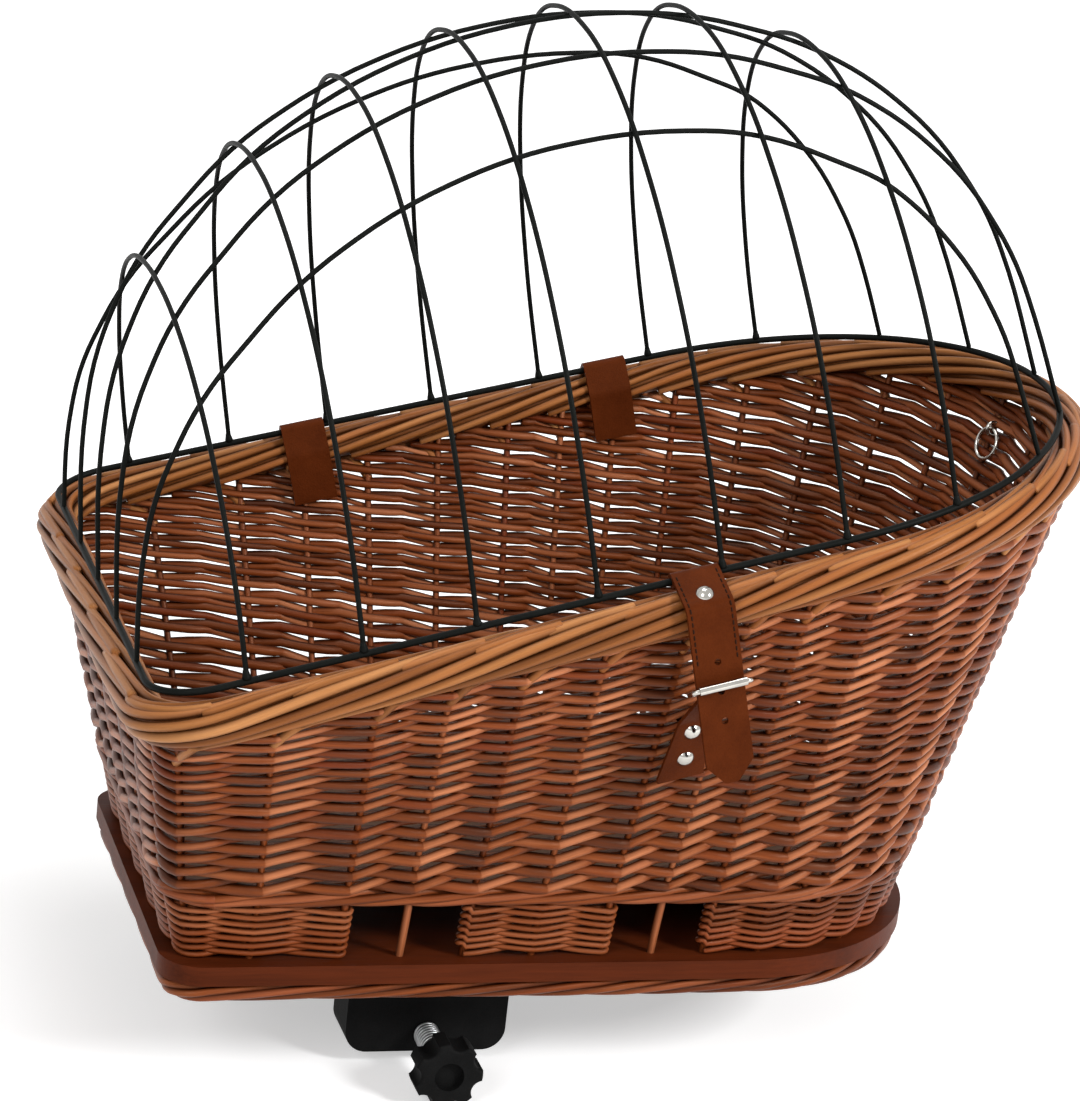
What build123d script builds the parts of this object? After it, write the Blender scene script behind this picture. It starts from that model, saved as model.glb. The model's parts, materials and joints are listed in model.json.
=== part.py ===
from build123d import *
import math
import os

# Wicker dog basket for a bicycle carrier, with a hinged wire dome, a strap with a
# roller buckle and a screw clamp under the base. Millimetres, +Z up, +X towards the
# tall round end, -Y towards the side with the strap. Z = 0 is the underside of the
# carrier rail, midway along the base board.

os.makedirs("parts", exist_ok=True)

# Base board and the carrier rail under it
board_length = 495.0
board_width = 276.0
board_thickness = 12.0
board_corner = 25.0
rail_length = 330.0
rail_width = 90.0
rail_height = 18.0
rail_web = 4.0
rail_wall = 3.0
seat_step = 1.0

# Wicker wall
wall_thickness = 12.0
wall_ledge = 8.0
wall_end_ledge = 5.0
lower_height = 36.0
waling_height = 12.0
waling_proud = 1.0
band_growth_share = 0.25
wall_corner = 25.0
rod_diameter = 5.0
rod_clearance = 0.05
valley_depth = 3.5
stake_inset = 3.0
round_stakes = 13
left_stakes = 5
near_gap = 0.3

# Openings in the foot of the long walls: centre along the board, and width
openings = [(-106.0, 70.0), (49.0, 59.0)]

# Raised floor and its battens
floor_thickness = 6.0
floor_gap = 1.0
batten_width = 20.0
batten_length = 190.0
batten_places = (-190.0, 120.0)

# Dome ring: its plane rises towards the round end
ring_tilt = 14.14
ring_rise = 193.3
ring_overhang = 31.0
ring_length = 594.0
ring_end_radius = 193.0
ring_flare = 1.15
ring_corner = 35.0
ring_wire = 4.0
ring_standoff = 3.2

# Rim border and the foot border
border_diameter = 25.0
border_offset = 5.0
foot_diameter = 12.0
foot_inset = 8.0

# Dome hoops
hoop_wire = 3.0
hoop_weld = 0.15
hoop_inset = 3.4
dome_height = 284.0
dome_power_share = 0.395
arch_power = 2.165
hoop_place_shares = (0.086, 0.197, 0.306, 0.424, 0.547, 0.673, 0.793)
fan_lean = 4.2
fan_lean_end = -2.6
long_left_width_shares = (-0.727, -0.36, 0.0, 0.36, 0.727)
long_right_width_shares = (-0.69, -0.38, 0.0, 0.38, 0.69)
long_bow_shares = (0.11, 0.05, 0.0, -0.05, -0.11)
arch_angle_shares = (0.06, 0.14, 0.23, 0.32, 0.41, 0.5, 0.59, 0.68, 0.77, 0.86, 0.94)
left_rise_shares = (0.006, 0.032)
right_fall_shares = (0.865, 0.93, 0.975, 0.994)

# Leather hinge loops on the far side
leather = 2.5
loop_width = 28.0
loop_corner = 2.0
loop_setbacks = (236.0, 32.0)
loop_drop = 43.0
wire_play = 0.3

# Front strap
strap_width = 28.0
strap_standoff = 4.8
strap_bend_drop = 10.0
strap_bend_radius = 7.0
strap_length = 117.0
strap_point = 12.0
strap_point_radius = 3.0
strap_blunt_width = 8.0
strap_hoop_gap = 1.2
strap_rivet_distance = 16.0
strap_hole = 4.0
strap_hole_drops = (43.0, 61.0, 79.0)

# Roller buckle
buckle_drop = 56.0
buckle_wire = 3.0
roller_diameter = 5.0
roller_gap = 2.0
tab_gap = 0.7
rear_bar_drop = 6.0
buckle_corner = 2.5
buckle_side_play = 1.5
roller_end_play = 1.0
prong_wire = 2.5
prong_length = 12.0
pin_play = 0.05

# Buckle tab
tab_foot_width = 28.0
tab_top_width = 15.0
tab_seat_drop = 90.0
tab_foot_drop = 129.0
tab_rivet_drops = (98.0, 116.0)
tab_bend_radius = 6.0
tab_slot = 4.0

# Rivets
rivet_head = 10.0
rivet_dome = 2.6
rivet_shank = 4.0
rivet_burr = 0.8

# Leash ring inside the round end
leash_angle = 12.0
leash_drop = 45.0
leash_ring_radius = 10.0
leash_wire = 2.5
leash_stand = 2.6
staple_radius = 4.0
staple_reach = 6.0
staple_washer = 1.5
staple_washer_radius = 7.0

# Screw clamp for the carrier tubes
tube_diameter = 16.0
tube_spacing = 108.0
tube_lip = 3.3
clamp_place = -72.0
clamp_length = 100.0
body_length = 60.0
clamp_depth = 54.0
jaw_outer = 26.0
jaw_corner = 14.0
jaw_play = 0.5
jaw_top_gap = 1.0
screw_drop = 42.0
screw_diameter = 8.0
screw_play = 0.3
screw_end = 62.0
nut_width = 13.0
nut_height = 6.5
spring_radius = 7.0
spring_wire = 2.0
spring_length = 30.0
spring_turns = 9
washer_thickness = 1.5
washer_radius = 9.5
knob_radius = 21.0
knob_thickness = 20.0
knob_boss_radius = 12.0
knob_boss_length = 9.0
knob_lobes = 7
knob_scallop_radius = 7.0
knob_scallop_depth = 4.0
knob_recess_radius = 9.0
knob_recess_depth = 5.0
knob_fillet = 2.0

# Fasteners of the rail, the clamp body and the far jaw
rail_screw_inset = 20.0
rail_screw_y = 30.0
rail_screw = 5.0
screw_head_depth = 2.8
screw_head_radius = 4.8
nut_radius = 4.6
nut_depth = 4.0
body_screw_x = 20.0
body_screw_y = 28.0
body_screw_length = 16.0
pan_head_radius = 4.5
pan_head_height = 3.0
jaw_screw_head_depth = 4.0
jaw_screw_bite = 14.0
overrun = 5.0

# Derived places
board_bottom = rail_height
board_top = board_bottom + board_thickness
board_half = board_width / 2
board_left = -board_length / 2
board_centre = board_length / 2 - board_half
band_bottom = board_top + lower_height
band_top = band_bottom + waling_height
ring_radius = ring_wire / 2
hoop_radius = hoop_wire / 2
border_radius = border_diameter / 2
border_drop = ring_radius + ring_standoff + border_radius
border_bulge = border_offset + border_radius
ring_centre = ring_length - ring_overhang - ring_end_radius
slope = math.radians(ring_flare)
tilt = math.radians(ring_tilt)
ring_plane = Plane(
    origin=(board_left, 0, board_top + ring_rise),
    x_dir=(math.cos(tilt), 0, math.sin(tilt)),
    z_dir=(-math.sin(tilt), 0, math.cos(tilt)),
)
tube_radius = tube_diameter / 2
tube_z = -tube_lip - tube_radius
tube_y = tube_spacing / 2
body_half = rail_width / 2
rail_screw_x = rail_length / 2 - rail_screw_inset
jaw_outer_y = tube_y + jaw_outer


def save(shape, name):
    export_step(shape, f"parts/{name}.step")


def group(shapes):
    return Compound(children=list(shapes))


class Outline:
    """A D-shaped outline: straight left edge, two side lines, one round end."""

    def __init__(self, left, centre, radius, corner, lean):
        self.left = left
        self.centre = centre
        self.radius = radius
        self.corner = corner
        self.lean = lean

    def grown(self, by):
        return Outline(
            self.left - by, self.centre, self.radius + by, self.corner + by, self.lean
        )

    def half_width(self, x):
        tangent = self.centre + self.radius * math.sin(self.lean)
        if x <= tangent:
            run = (self.centre - x) * math.sin(self.lean)
            return (self.radius + run) / math.cos(self.lean)
        return math.sqrt(max(self.radius**2 - (x - self.centre) ** 2, 0))

    def side_line(self):
        """The far side line, from the left corner's arc to the round end."""
        run = (math.cos(self.lean), -math.sin(self.lean))
        reach = self.corner * math.tan(math.radians(45) + self.lean / 2)
        top = self.half_width(self.left)
        start = Vector(self.left + reach * run[0], top + reach * run[1])
        end = Vector(self.radius * math.sin(self.lean), self.radius * math.cos(self.lean))
        return start, end + Vector(self.centre, 0)

    def wire(self):
        far = (
            self.centre + self.radius * math.sin(self.lean),
            self.radius * math.cos(self.lean),
        )
        near = (far[0], -far[1])
        top = self.half_width(self.left)
        side = FilletPolyline(
            far, (self.left, top), (self.left, -top), near, radius=self.corner
        )
        end = ThreePointArc(near, (self.centre + self.radius, 0), far)
        return Wire([*side.edges(), *end.edges()])

    def face(self, plane):
        return plane * make_face(self.wire().edges())


board_outline = Outline(board_left, board_centre, board_half, board_corner, 0)
wall_foot = Outline(
    board_left + wall_end_ledge, board_centre, board_half - wall_ledge, wall_corner, 0
)
ring_outline = Outline(
    -ring_overhang, ring_centre, ring_end_radius, ring_corner, slope
)


def level(height):
    return Plane.XY.offset(height)


def plate(outline, bottom, height):
    return extrude(outline.face(level(bottom)), height)


def closed_tube(path, radius):
    start = Plane(origin=path @ 0, z_dir=path % 0)
    return sweep(start * Circle(radius), path=path)


def rod(start, end, radius):
    axis = Vector(end) - Vector(start)
    return extrude(Plane(origin=start, z_dir=axis) * Circle(radius), axis.length)


def arc_path(targets):
    """Straight runs joined by arcs, whose middles pass through the targets."""
    goal = [Vector(p) for p in targets]
    corners = list(goal)
    run_share = 0.45
    for _ in range(6):
        moved = [corners[0]]
        radii = []
        for before, here, after, aim in zip(corners, corners[1:], corners[2:], goal[1:]):
            back = before - here
            ahead = after - here
            half_turn = math.radians(180 - back.get_angle(ahead)) / 2
            run = min(back.length, ahead.length)
            radius = run_share * run / math.tan(half_turn)
            inward = (back.normalized() + ahead.normalized()).normalized()
            moved.append(aim - inward * radius * (1 / math.cos(half_turn) - 1))
            radii.append(radius)
        moved.append(corners[-1])
        corners = moved
    safe_share = 0.98
    return FilletPolyline(*corners, radius=[r * safe_share for r in radii])


def open_tube(path, radius):
    start = Plane(origin=path @ 0, z_dir=path % 0)
    return sweep(start * Circle(radius), path=path)


# Base board with the holes of the bare stakes


def wall_mid(height):
    growth = (height - board_top) * band_growth_share
    return wall_foot.radius + growth - wall_thickness / 2


def stake_axis(x, side):
    """The slanting middle line of a bare stake, well past both of its ends."""
    low = board_bottom - overrun
    high = band_bottom + overrun
    return (x, side * wall_mid(low), low), (x, side * wall_mid(high), high)


stake_feet = [(x, side) for x, _ in openings for side in (-1, 1)]
stakes = []
base_board = plate(board_outline, board_bottom, board_thickness)
stake_slab = Pos(0, 0, (board_bottom + band_bottom) / 2) * Box(
    board_length * 2, board_width * 2, band_bottom - board_bottom
)
for x, side in stake_feet:
    low, high = stake_axis(x, side)
    base_board -= rod(low, high, rod_diameter / 2 + rod_clearance)
    stakes.append(rod(low, high, rod_diameter / 2) & stake_slab)

rail_screw_spots = [
    (x, y) for x in (-rail_screw_x, rail_screw_x) for y in (-rail_screw_y, rail_screw_y)
]
for x, y in rail_screw_spots:
    base_board -= Pos(x, y, board_bottom) * Cylinder(
        rail_screw / 2, board_thickness * 3
    )
save(base_board, "base_board")
save(group(stakes), "bare_stakes")

# Foot border: the stakes' ends, turned and plaited under the board's edge

foot_line = board_outline.grown(-foot_inset)
foot_z = board_bottom - foot_diameter / 2 - near_gap
foot_path = foot_line.wire().moved(Location((0, 0, foot_z)))
save(closed_tube(foot_path, foot_diameter / 2), "foot_border")

# Lower wall in four lengths between the openings, and the waling band above it

lower_low = wall_foot
lower_high = wall_foot.grown(lower_height * band_growth_share)
waling_high = lower_high.grown(waling_height * band_growth_share)


def band(low, low_plane, high, high_plane, thickness):
    outer = loft([low.face(low_plane), high.face(high_plane)], ruled=True)
    inner = loft(
        [low.grown(-thickness).face(low_plane), high.grown(-thickness).face(high_plane)],
        ruled=True,
    )
    return outer - inner


lower_ring = band(
    lower_low, level(board_top), lower_high, level(band_bottom), wall_thickness
)
for x, width in openings:
    lower_ring -= Pos(x, 0, band_bottom - lower_height / 2) * Box(
        width, board_width * 2, lower_height * 2
    )
lower_lengths = lower_ring.solids().sort_by(Axis.X)
save(lower_lengths[0], "lower_weave_left")
save(lower_lengths[-1], "lower_weave_right")
middle_lengths = ShapeList(lower_lengths[1:-1]).sort_by(Axis.Y)
save(middle_lengths[0], "lower_weave_near")
save(middle_lengths[-1], "lower_weave_far")

waling = band(
    lower_high.grown(waling_proud),
    level(band_bottom),
    waling_high.grown(waling_proud),
    level(band_top),
    wall_thickness + 2 * waling_proud,
)
save(waling, "waling_band")

# Raised floor on two battens

floor_outline = lower_high.grown(-wall_thickness - waling_proud - floor_gap)
save(plate(floor_outline, band_bottom, floor_thickness), "inner_floor")
save(
    group(
        Pos(x, 0, (board_top + band_bottom) / 2)
        * Box(batten_width, batten_length, lower_height)
        for x in batten_places
    ),
    "floor_battens",
)

# Upper wall, from the waling to just under the rim border

wall_top_drop = border_drop + border_radius + near_gap
wall_top_grow = border_offset + wall_thickness / 4
wall_top = ring_outline.grown(wall_top_grow)
wall_top_plane = ring_plane.offset(-wall_top_drop)


# Stakes: a rounded rib of the upper wall stands over each of them

edge_girths = [edge.length for edge in waling_high.wire().edges()]
side_girth, corner_girth, left_girth = edge_girths[:3]


def stake_girths():
    """Places of the stakes, measured along the wall's outline at the waling."""
    places = []
    for x, width in openings:
        reach = width / 2 + stake_inset
        places += [x - reach, x, x + reach]
    middle = (places[2] + places[3]) / 2
    low_end = (places[0] + board_left) / 2
    far_side = [board_centre - x for x in sorted([*places, middle, low_end])][::-1]
    far_corner = side_girth + corner_girth / 2
    half = side_girth + corner_girth + left_girth / 2
    space = 2 * (half - far_corner) / (left_stakes + 1)
    left = [far_corner + space * (i + 1) for i in range(left_stakes)]
    near_side = [2 * half - girth for girth in (far_corner, *far_side[::-1])]
    space = (edge_girths[-1] + 2 * far_side[0]) / (round_stakes + 1)
    round_end = [near_side[-1] + space * (i + 1) for i in range(round_stakes)]
    return [*far_side, far_corner, *left, *near_side, *round_end]


def girth_spots(outline, girths):
    """Points of an outline at the same shares of its edges as at the waling."""
    edges = outline.wire().edges()
    spots = []
    for girth in girths:
        number = 0
        rest = girth % sum(edge_girths)
        while rest > edge_girths[number]:
            rest -= edge_girths[number]
            number += 1
        spots.append(edges[number] @ (rest / edge_girths[number]))
    return spots


def scalloped(outline, peak, valley):
    """A closed line of arcs, one to a stake, between two offsets of an outline."""
    girths = stake_girths()
    valleys = [(a + b) / 2 for a, b in zip(girths, girths[1:])]
    valleys.append((girths[-1] + girths[0] + sum(edge_girths)) / 2)
    peaks = girth_spots(outline.grown(-peak), girths)
    low = girth_spots(outline.grown(-valley), valleys)
    arcs = zip([low[-1], *low], peaks, low)
    return [ThreePointArc(a, b, c).edge() for a, b, c in arcs]


def ribbed_band(low, low_plane, high, high_plane):
    """The wall with a rounded rib over each stake, on its outer and inner face."""
    skins = []
    for peak, valley in ((0, valley_depth), (wall_thickness, wall_thickness - valley_depth)):
        faces = [
            plane * make_face(scalloped(outline, peak, valley))
            for outline, plane in ((low, low_plane), (high, high_plane))
        ]
        skins.append(loft(faces, ruled=True))
    return skins[0] - skins[1]


upper_weave = ribbed_band(waling_high, level(band_top), wall_top, wall_top_plane)

# Rim border

border_path = ring_outline.grown(border_offset).wire().moved(
    ring_plane.offset(-border_drop).location
)
rim_border = closed_tube(border_path, border_radius)

# Dome ring and hoops, in the plane of the ring


def fan(x):
    share = (x + ring_overhang) / ring_length
    return math.tan(math.radians(fan_lean + (fan_lean_end - fan_lean) * share))


def dome_point(x, y):
    """A point of the dome's surface above (x, y) of the ring plane."""
    share = min(max((x + ring_overhang) / ring_length, 0), 1)
    crest = dome_height * (4 * share * (1 - share)) ** dome_power_share
    half = ring_outline.half_width(x)
    across = min(abs(y) / half, 1) if half else 1
    rise = crest * max(1 - across**arch_power, 0) ** (1 / arch_power)
    return Vector(x + rise * fan(x), y, rise)


def inner_point(x, y):
    """The same point, moved inwards so that one wire passes under another."""
    step = hoop_radius / 10
    here = dome_point(x, y)
    along = dome_point(x + step, y) - dome_point(x - step, y)
    across = dome_point(x, y + step) - dome_point(x, y - step)
    return here - along.cross(across).normalized() * hoop_inset


foot_height = ring_radius + hoop_weld
ring_path = ring_outline.wire().moved(ring_plane.location)
save(closed_tube(ring_path, ring_radius), "ring_wire")

hoop_places = [share * ring_length - ring_overhang for share in hoop_place_shares]
for number, x in enumerate(hoop_places, start=1):
    half = ring_outline.half_width(x)
    spots = [Vector(x, -half, foot_height)]
    for share in arch_angle_shares:
        angle = math.pi * share
        across = abs(math.cos(angle)) ** (2 / arch_power)
        spots.append(dome_point(x, -math.copysign(half * across, math.cos(angle))))
    spots.append(Vector(x, half, foot_height))
    path = arc_path(spots).moved(ring_plane.location)
    save(open_tube(path, hoop_radius), f"cross_hoop_{number}")

long_hoops = zip(long_left_width_shares, long_right_width_shares, long_bow_shares)
for number, (left_share, right_share, bow_share) in enumerate(long_hoops, start=1):
    left_y = left_share * ring_end_radius
    right_y = right_share * ring_end_radius
    right_x = ring_centre + math.sqrt(ring_end_radius**2 - right_y**2)
    run = right_x + ring_overhang
    spots = [Vector(-ring_overhang, left_y, foot_height)]
    shares = left_rise_shares + tuple(
        (x + ring_overhang) / run for x in hoop_places
    )
    last = shares[-1]
    shares += tuple(
        last + (share - hoop_place_shares[-1]) / (1 - hoop_place_shares[-1]) * (1 - last)
        for share in right_fall_shares
    )
    for share in shares:
        bow = bow_share * ring_end_radius * 4 * share * (1 - share)
        y = left_y + (right_y - left_y) * share + bow
        spots.append(inner_point(share * run - ring_overhang, y))
    spots.append(Vector(right_x, right_y, foot_height))
    path = arc_path(spots).moved(ring_plane.location)
    save(open_tube(path, hoop_radius), f"long_hoop_{number}")

# Frames across the ring wire, on the far side (1) or near side (-1): x along the
# wire, y outwards from the basket, z square to the ring plane


def side_frame(x, side):
    along = Vector(side * math.cos(slope), -math.sin(slope), 0)
    spot = (x, side * ring_outline.half_width(x), 0)
    local = Plane(origin=spot, x_dir=along, z_dir=(0, 0, 1))
    return ring_plane.location * local.location


def section(profile, width):
    """A solid whose profile is drawn as (outwards, up), centred along the wire."""
    return extrude(Plane.YZ * profile, width / 2, both=True)


def side_ruling(share):
    """A ruling of the upper wall's outer side face, in ring coordinates."""
    low, head = [
        a + (b - a) * share for a, b in (waling_high.side_line(), wall_top.side_line())
    ]
    foot = ring_plane.to_local_coords(Vector(low.X, low.Y, band_top))
    return foot, head - Vector(0, 0, wall_top_drop)


def wall_face(x, drop):
    """How far outside the wire the wall's outer face lies, at a depth under the ring."""
    shares = [0.0, 1.0]
    for _ in range(40):
        share = sum(shares) / 2
        foot, head = side_ruling(share)
        spot = foot + (head - foot) * ((-drop - foot.Z) / (head.Z - foot.Z))
        shares[0 if spot.X < x else 1] = share
    return spot.Y - ring_outline.half_width(x)


def ribbon(points, thickness, bend_radius):
    """A strip of even thickness along a route with rounded bends, as a face."""
    route = [Vector(p) for p in points]
    sides = []
    for by in (thickness / 2, -thickness / 2):
        runs = [(b - a).normalized() for a, b in zip(route, route[1:])]
        normals = [Vector(-run.Y, run.X) for run in runs]
        moved = [route[0] + normals[0] * by]
        radii = []
        for here, before, after in zip(route[1:], normals, normals[1:]):
            moved.append(here + (before + after) * (by / (1 + before.dot(after))))
            turn = math.copysign(1, before.X * after.Y - before.Y * after.X)
            radii.append(bend_radius - turn * by)
        moved.append(route[-1] + normals[-1] * by)
        sides.append(FilletPolyline(*moved, radius=radii))
    left, right = sides
    ends = [Line(left @ 0, right @ 0), Line(left @ 1, right @ 1)]
    return make_face([*left.edges(), *right.edges(), *[e.edge() for e in ends]])


def ball_cap(radius, height):
    """A shallow dome that stands on the plane z = 0."""
    ball = (radius**2 + height**2) / (2 * height)
    box = Pos(0, 0, height) * Box(radius * 2, radius * 2, height * 2)
    return (Pos(0, 0, height - ball) * Sphere(ball)) & box


def rivet(grip):
    """A rivet along Z: its dome on z = 0, its shank and burr below."""
    shank = Pos(0, 0, -grip / 2) * Cylinder(rivet_shank / 2, grip)
    burr = Pos(0, 0, -grip - rivet_burr / 2) * Cylinder(rivet_head / 2, rivet_burr)
    return ball_cap(rivet_head / 2, rivet_dome) + shank + burr


def rivet_hole(grip):
    return Pos(0, 0, -grip / 2) * Cylinder(rivet_shank / 2 + pin_play, grip + rivet_burr)


# Leather hinge loops: each goes round the wire and the border, and through the wall

eye_radius = ring_radius + wire_play


def loop_hull(x, cover):
    border = Pos(border_offset, -border_drop) * Circle(border_radius + near_gap + cover)
    eye = Circle(eye_radius + cover)
    outer = wall_face(x, loop_drop) + near_gap * 3 + cover
    inner = outer - wall_thickness - near_gap * 6 - 2 * cover
    foot = Pos((outer + inner) / 2, -loop_drop - cover) * Rectangle(
        outer - inner, loop_corner
    )
    return make_hull([*border.edges(), *eye.edges(), *foot.edges()])


for number, setback in enumerate(loop_setbacks, start=1):
    x = ring_centre - setback
    place = side_frame(x, 1)
    loop = section(loop_hull(x, leather) - loop_hull(x, 0), loop_width)
    slot = section(
        loop_hull(x, leather + near_gap) - loop_hull(x, -near_gap),
        loop_width + 2 * near_gap,
    )
    upper_weave -= slot.moved(place)
    save(loop.moved(place), f"hinge_loop_{number}")

# Front strap: an eye round the near wire, a slope over the border, a hanging end

strap_x = hoop_places[4] - hoop_radius - strap_hoop_gap - strap_width / 2
strap_place = side_frame(strap_x, -1)
strap_out = border_bulge + strap_standoff + leather / 2
strap_eye = eye_radius + leather / 2
bend_reach = math.hypot(strap_out, strap_bend_drop)
strap_slope = math.atan2(strap_bend_drop, strap_out) + math.asin(strap_eye / bend_reach)
strap_start = (strap_eye * math.sin(strap_slope), strap_eye * math.cos(strap_slope))
strap_profile = ribbon(
    [strap_start, (strap_out, -strap_bend_drop), (strap_out, -strap_length)],
    leather,
    strap_bend_radius,
)
strap_profile += Circle(eye_radius + leather) - Circle(eye_radius)
strap_profile -= Circle(eye_radius)
front_strap = section(strap_profile, strap_width)
half_strap = strap_width / 2
tip_face = make_face(
    Polyline(
        (-half_strap, strap_length),
        (half_strap, strap_length),
        (half_strap, strap_point - strap_length),
        (strap_blunt_width / 2, -strap_length),
        (-strap_blunt_width / 2, -strap_length),
        (-half_strap, strap_point - strap_length),
        close=True,
    ).edges()
)
tip_corners = tip_face.vertices().filter_by(lambda v: v.Y < 0)
tip_face = fillet(tip_corners, strap_point_radius)
front_strap &= extrude(Plane.XZ * tip_face, strap_length, both=True)
for drop in strap_hole_drops:
    hole = Pos(0, strap_out, -drop) * Rot(90, 0, 0) * Cylinder(strap_hole / 2, leather * 2)
    front_strap -= hole
slope_down = (math.cos(strap_slope), -math.sin(strap_slope))
slope_out = (math.sin(strap_slope), math.cos(strap_slope))
rivet_spot = [
    slope_out[i] * (strap_eye + leather / 2) + slope_down[i] * strap_rivet_distance
    for i in (0, 1)
]
strap_rivet_place = Plane(
    origin=(0, *rivet_spot), x_dir=(1, 0, 0), z_dir=(0, *slope_out)
).location
front_strap -= rivet_hole(leather).moved(strap_rivet_place)
save(front_strap.moved(strap_place), "front_strap")
save(rivet(leather).moved(strap_place * strap_rivet_place), "strap_rivet")

# Roller buckle: a wire frame, a roller on its front bar, a prong on its rear bar

bar_radius = buckle_wire / 2
roller_radius = roller_diameter / 2
roller_out = strap_out + leather / 2 + roller_gap + roller_radius
bar_out = strap_out - leather / 2 - tab_gap - leather - wire_play - bar_radius
bar_drop = buckle_drop + rear_bar_drop
arm = half_strap + buckle_side_play + bar_radius
bar_run = Vector(0, roller_out - bar_out, bar_drop - buckle_drop)
frame_plane = Plane(
    origin=(0, (roller_out + bar_out) / 2, -(buckle_drop + bar_drop) / 2),
    x_dir=(1, 0, 0),
    z_dir=Vector(1, 0, 0).cross(bar_run),
)
frame_route = (
    frame_plane * RectangleRounded(2 * arm, bar_run.length, buckle_corner)
).wire()
buckle_frame = closed_tube(frame_route, bar_radius)
save(buckle_frame.moved(strap_place), "buckle_frame")
roller_length = 2 * (arm - buckle_corner) - roller_end_play
roller = extrude(
    Plane.YZ * (Circle(roller_radius) - Circle(bar_radius + pin_play)),
    roller_length / 2,
    both=True,
)
roller_spot = Location((0, roller_out, -buckle_drop))
save(roller.moved(strap_place * roller_spot), "buckle_roller")
bar_spot = Location((0, bar_out, -bar_drop))
prong_eye = extrude(
    Plane.YZ * (Circle(bar_radius + prong_wire) - Circle(bar_radius + pin_play)),
    prong_wire / 2,
    both=True,
)
prong_centre = (bar_radius + pin_play + bar_radius + prong_wire) / 2
prong_out = -prong_centre
prong_rod = Pos(0, prong_out, prong_length / 2) * Cylinder(prong_wire / 2, prong_length)
prong_tip = Pos(0, prong_out, prong_length) * Sphere(prong_wire / 2)
prong_bore = extrude(
    Plane.YZ * Circle(bar_radius + pin_play), prong_wire, both=True
)
prong = prong_eye + prong_rod + prong_tip - prong_bore
save(prong.moved(strap_place * bar_spot), "buckle_prong")

# Buckle tab: riveted to the wall, bent out to the rear bar

tab_stand = near_gap * 3 + leather / 2
tab_points = [
    (wall_face(strap_x, tab_foot_drop) + tab_stand, -tab_foot_drop),
    (wall_face(strap_x, tab_seat_drop) + tab_stand, -tab_seat_drop),
    (bar_out, -bar_drop),
]
bar_eye = bar_radius + wire_play
tab_profile = ribbon(tab_points, leather, tab_bend_radius)
tab_profile += Pos(bar_out, -bar_drop) * Circle(bar_eye + leather)
tab_profile -= Pos(bar_out, -bar_drop) * Circle(bar_eye)


def tab_lean(drop):
    """How far aside the tab lies at a depth, as it hangs upright from the bar."""
    return (drop - bar_drop) * math.tan(tilt)


foot_aside = tab_lean(tab_foot_drop)
buckle_tab = section(tab_profile, tab_foot_width + 2 * foot_aside)
half_foot = tab_foot_width / 2
half_top = tab_top_width / 2
tab_face = make_face(
    Polyline(
        (foot_aside - half_foot, -tab_foot_drop * 2),
        (foot_aside + half_foot, -tab_foot_drop * 2),
        (foot_aside + half_foot, -tab_foot_drop + leather),
        (half_top, -bar_drop - leather),
        (half_top, 0),
        (-half_top, 0),
        (-half_top, -bar_drop - leather),
        (foot_aside - half_foot, -tab_foot_drop + leather),
        close=True,
    ).edges()
)
buckle_tab &= extrude(Plane.XZ * tab_face, tab_foot_drop, both=True)
slot_reach = 2 * (bar_eye + leather + near_gap)
buckle_tab -= bar_spot * Box(tab_slot, slot_reach, slot_reach)
foot_run = Vector(tab_points[1]) - Vector(tab_points[0])
wall_up = foot_run.normalized()
wall_out = Vector(wall_up.Y, -wall_up.X)
tab_rivets = []
for drop in tab_rivet_drops:
    grip = leather + near_gap * 3 + wall_thickness * wall_up.Y
    rise = (tab_foot_drop - drop) / wall_up.Y
    face_out = tab_points[0][0] + wall_up.X * rise + leather / 2 / wall_up.Y
    place = Plane(
        origin=(tab_lean(drop), face_out, -drop),
        x_dir=(1, 0, 0),
        z_dir=(0, wall_out.X, wall_out.Y),
    ).location
    buckle_tab -= rivet_hole(grip).moved(place)
    upper_weave -= rivet_hole(grip + wall_thickness).moved(strap_place * place)
    tab_rivets.append(rivet(grip).moved(strap_place * place))
save(buckle_tab.moved(strap_place), "buckle_tab")
save(group(tab_rivets), "tab_rivets")

# Leash ring on a staple inside the round end. Frame: x inwards, y up the wall

leash_share = math.radians(leash_angle)
end_direction = Vector(math.cos(leash_share), math.sin(leash_share), 0)


def end_wall_spot(drop):
    """A point of the inner face of the round end, at a depth under the ring."""
    top_radius = wall_top.radius - wall_thickness
    top = ring_plane.location * Pos(
        *(Vector(wall_top.centre, 0, -wall_top_drop) + end_direction * top_radius)
    )
    low_radius = waling_high.radius - wall_thickness
    low = Vector(waling_high.centre, 0, band_top) + end_direction * low_radius
    high = Vector(*top.position)
    share = (drop - wall_top_drop) * math.cos(tilt) / (high.Z - low.Z)
    return high + (low - high) * share


leash_origin = end_wall_spot(leash_drop)
leash_up = (end_wall_spot(leash_drop - overrun) - leash_origin).normalized()
leash_side = Vector(-end_direction.Y, end_direction.X, 0)
leash_in = leash_up.cross(leash_side).normalized()
if leash_in.X > 0:
    leash_in = -leash_in
leash_place = Plane(
    origin=leash_origin, x_dir=leash_in, z_dir=leash_in.cross(leash_up)
).location
leash_radius = leash_wire / 2
leg_end = -wall_thickness - near_gap - staple_washer
leg_run = staple_reach - staple_radius
staple_route = Wire(
    [
        Line((leg_end, staple_radius, 0), (leg_run, staple_radius, 0)).edge(),
        ThreePointArc(
            (leg_run, staple_radius, 0), (staple_reach, 0, 0), (leg_run, -staple_radius, 0)
        ).edge(),
        Line((leg_run, -staple_radius, 0), (leg_end, -staple_radius, 0)).edge(),
    ]
)
staple = open_tube(staple_route, leash_radius)
washer_place = leg_end + staple_washer / 2
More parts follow.
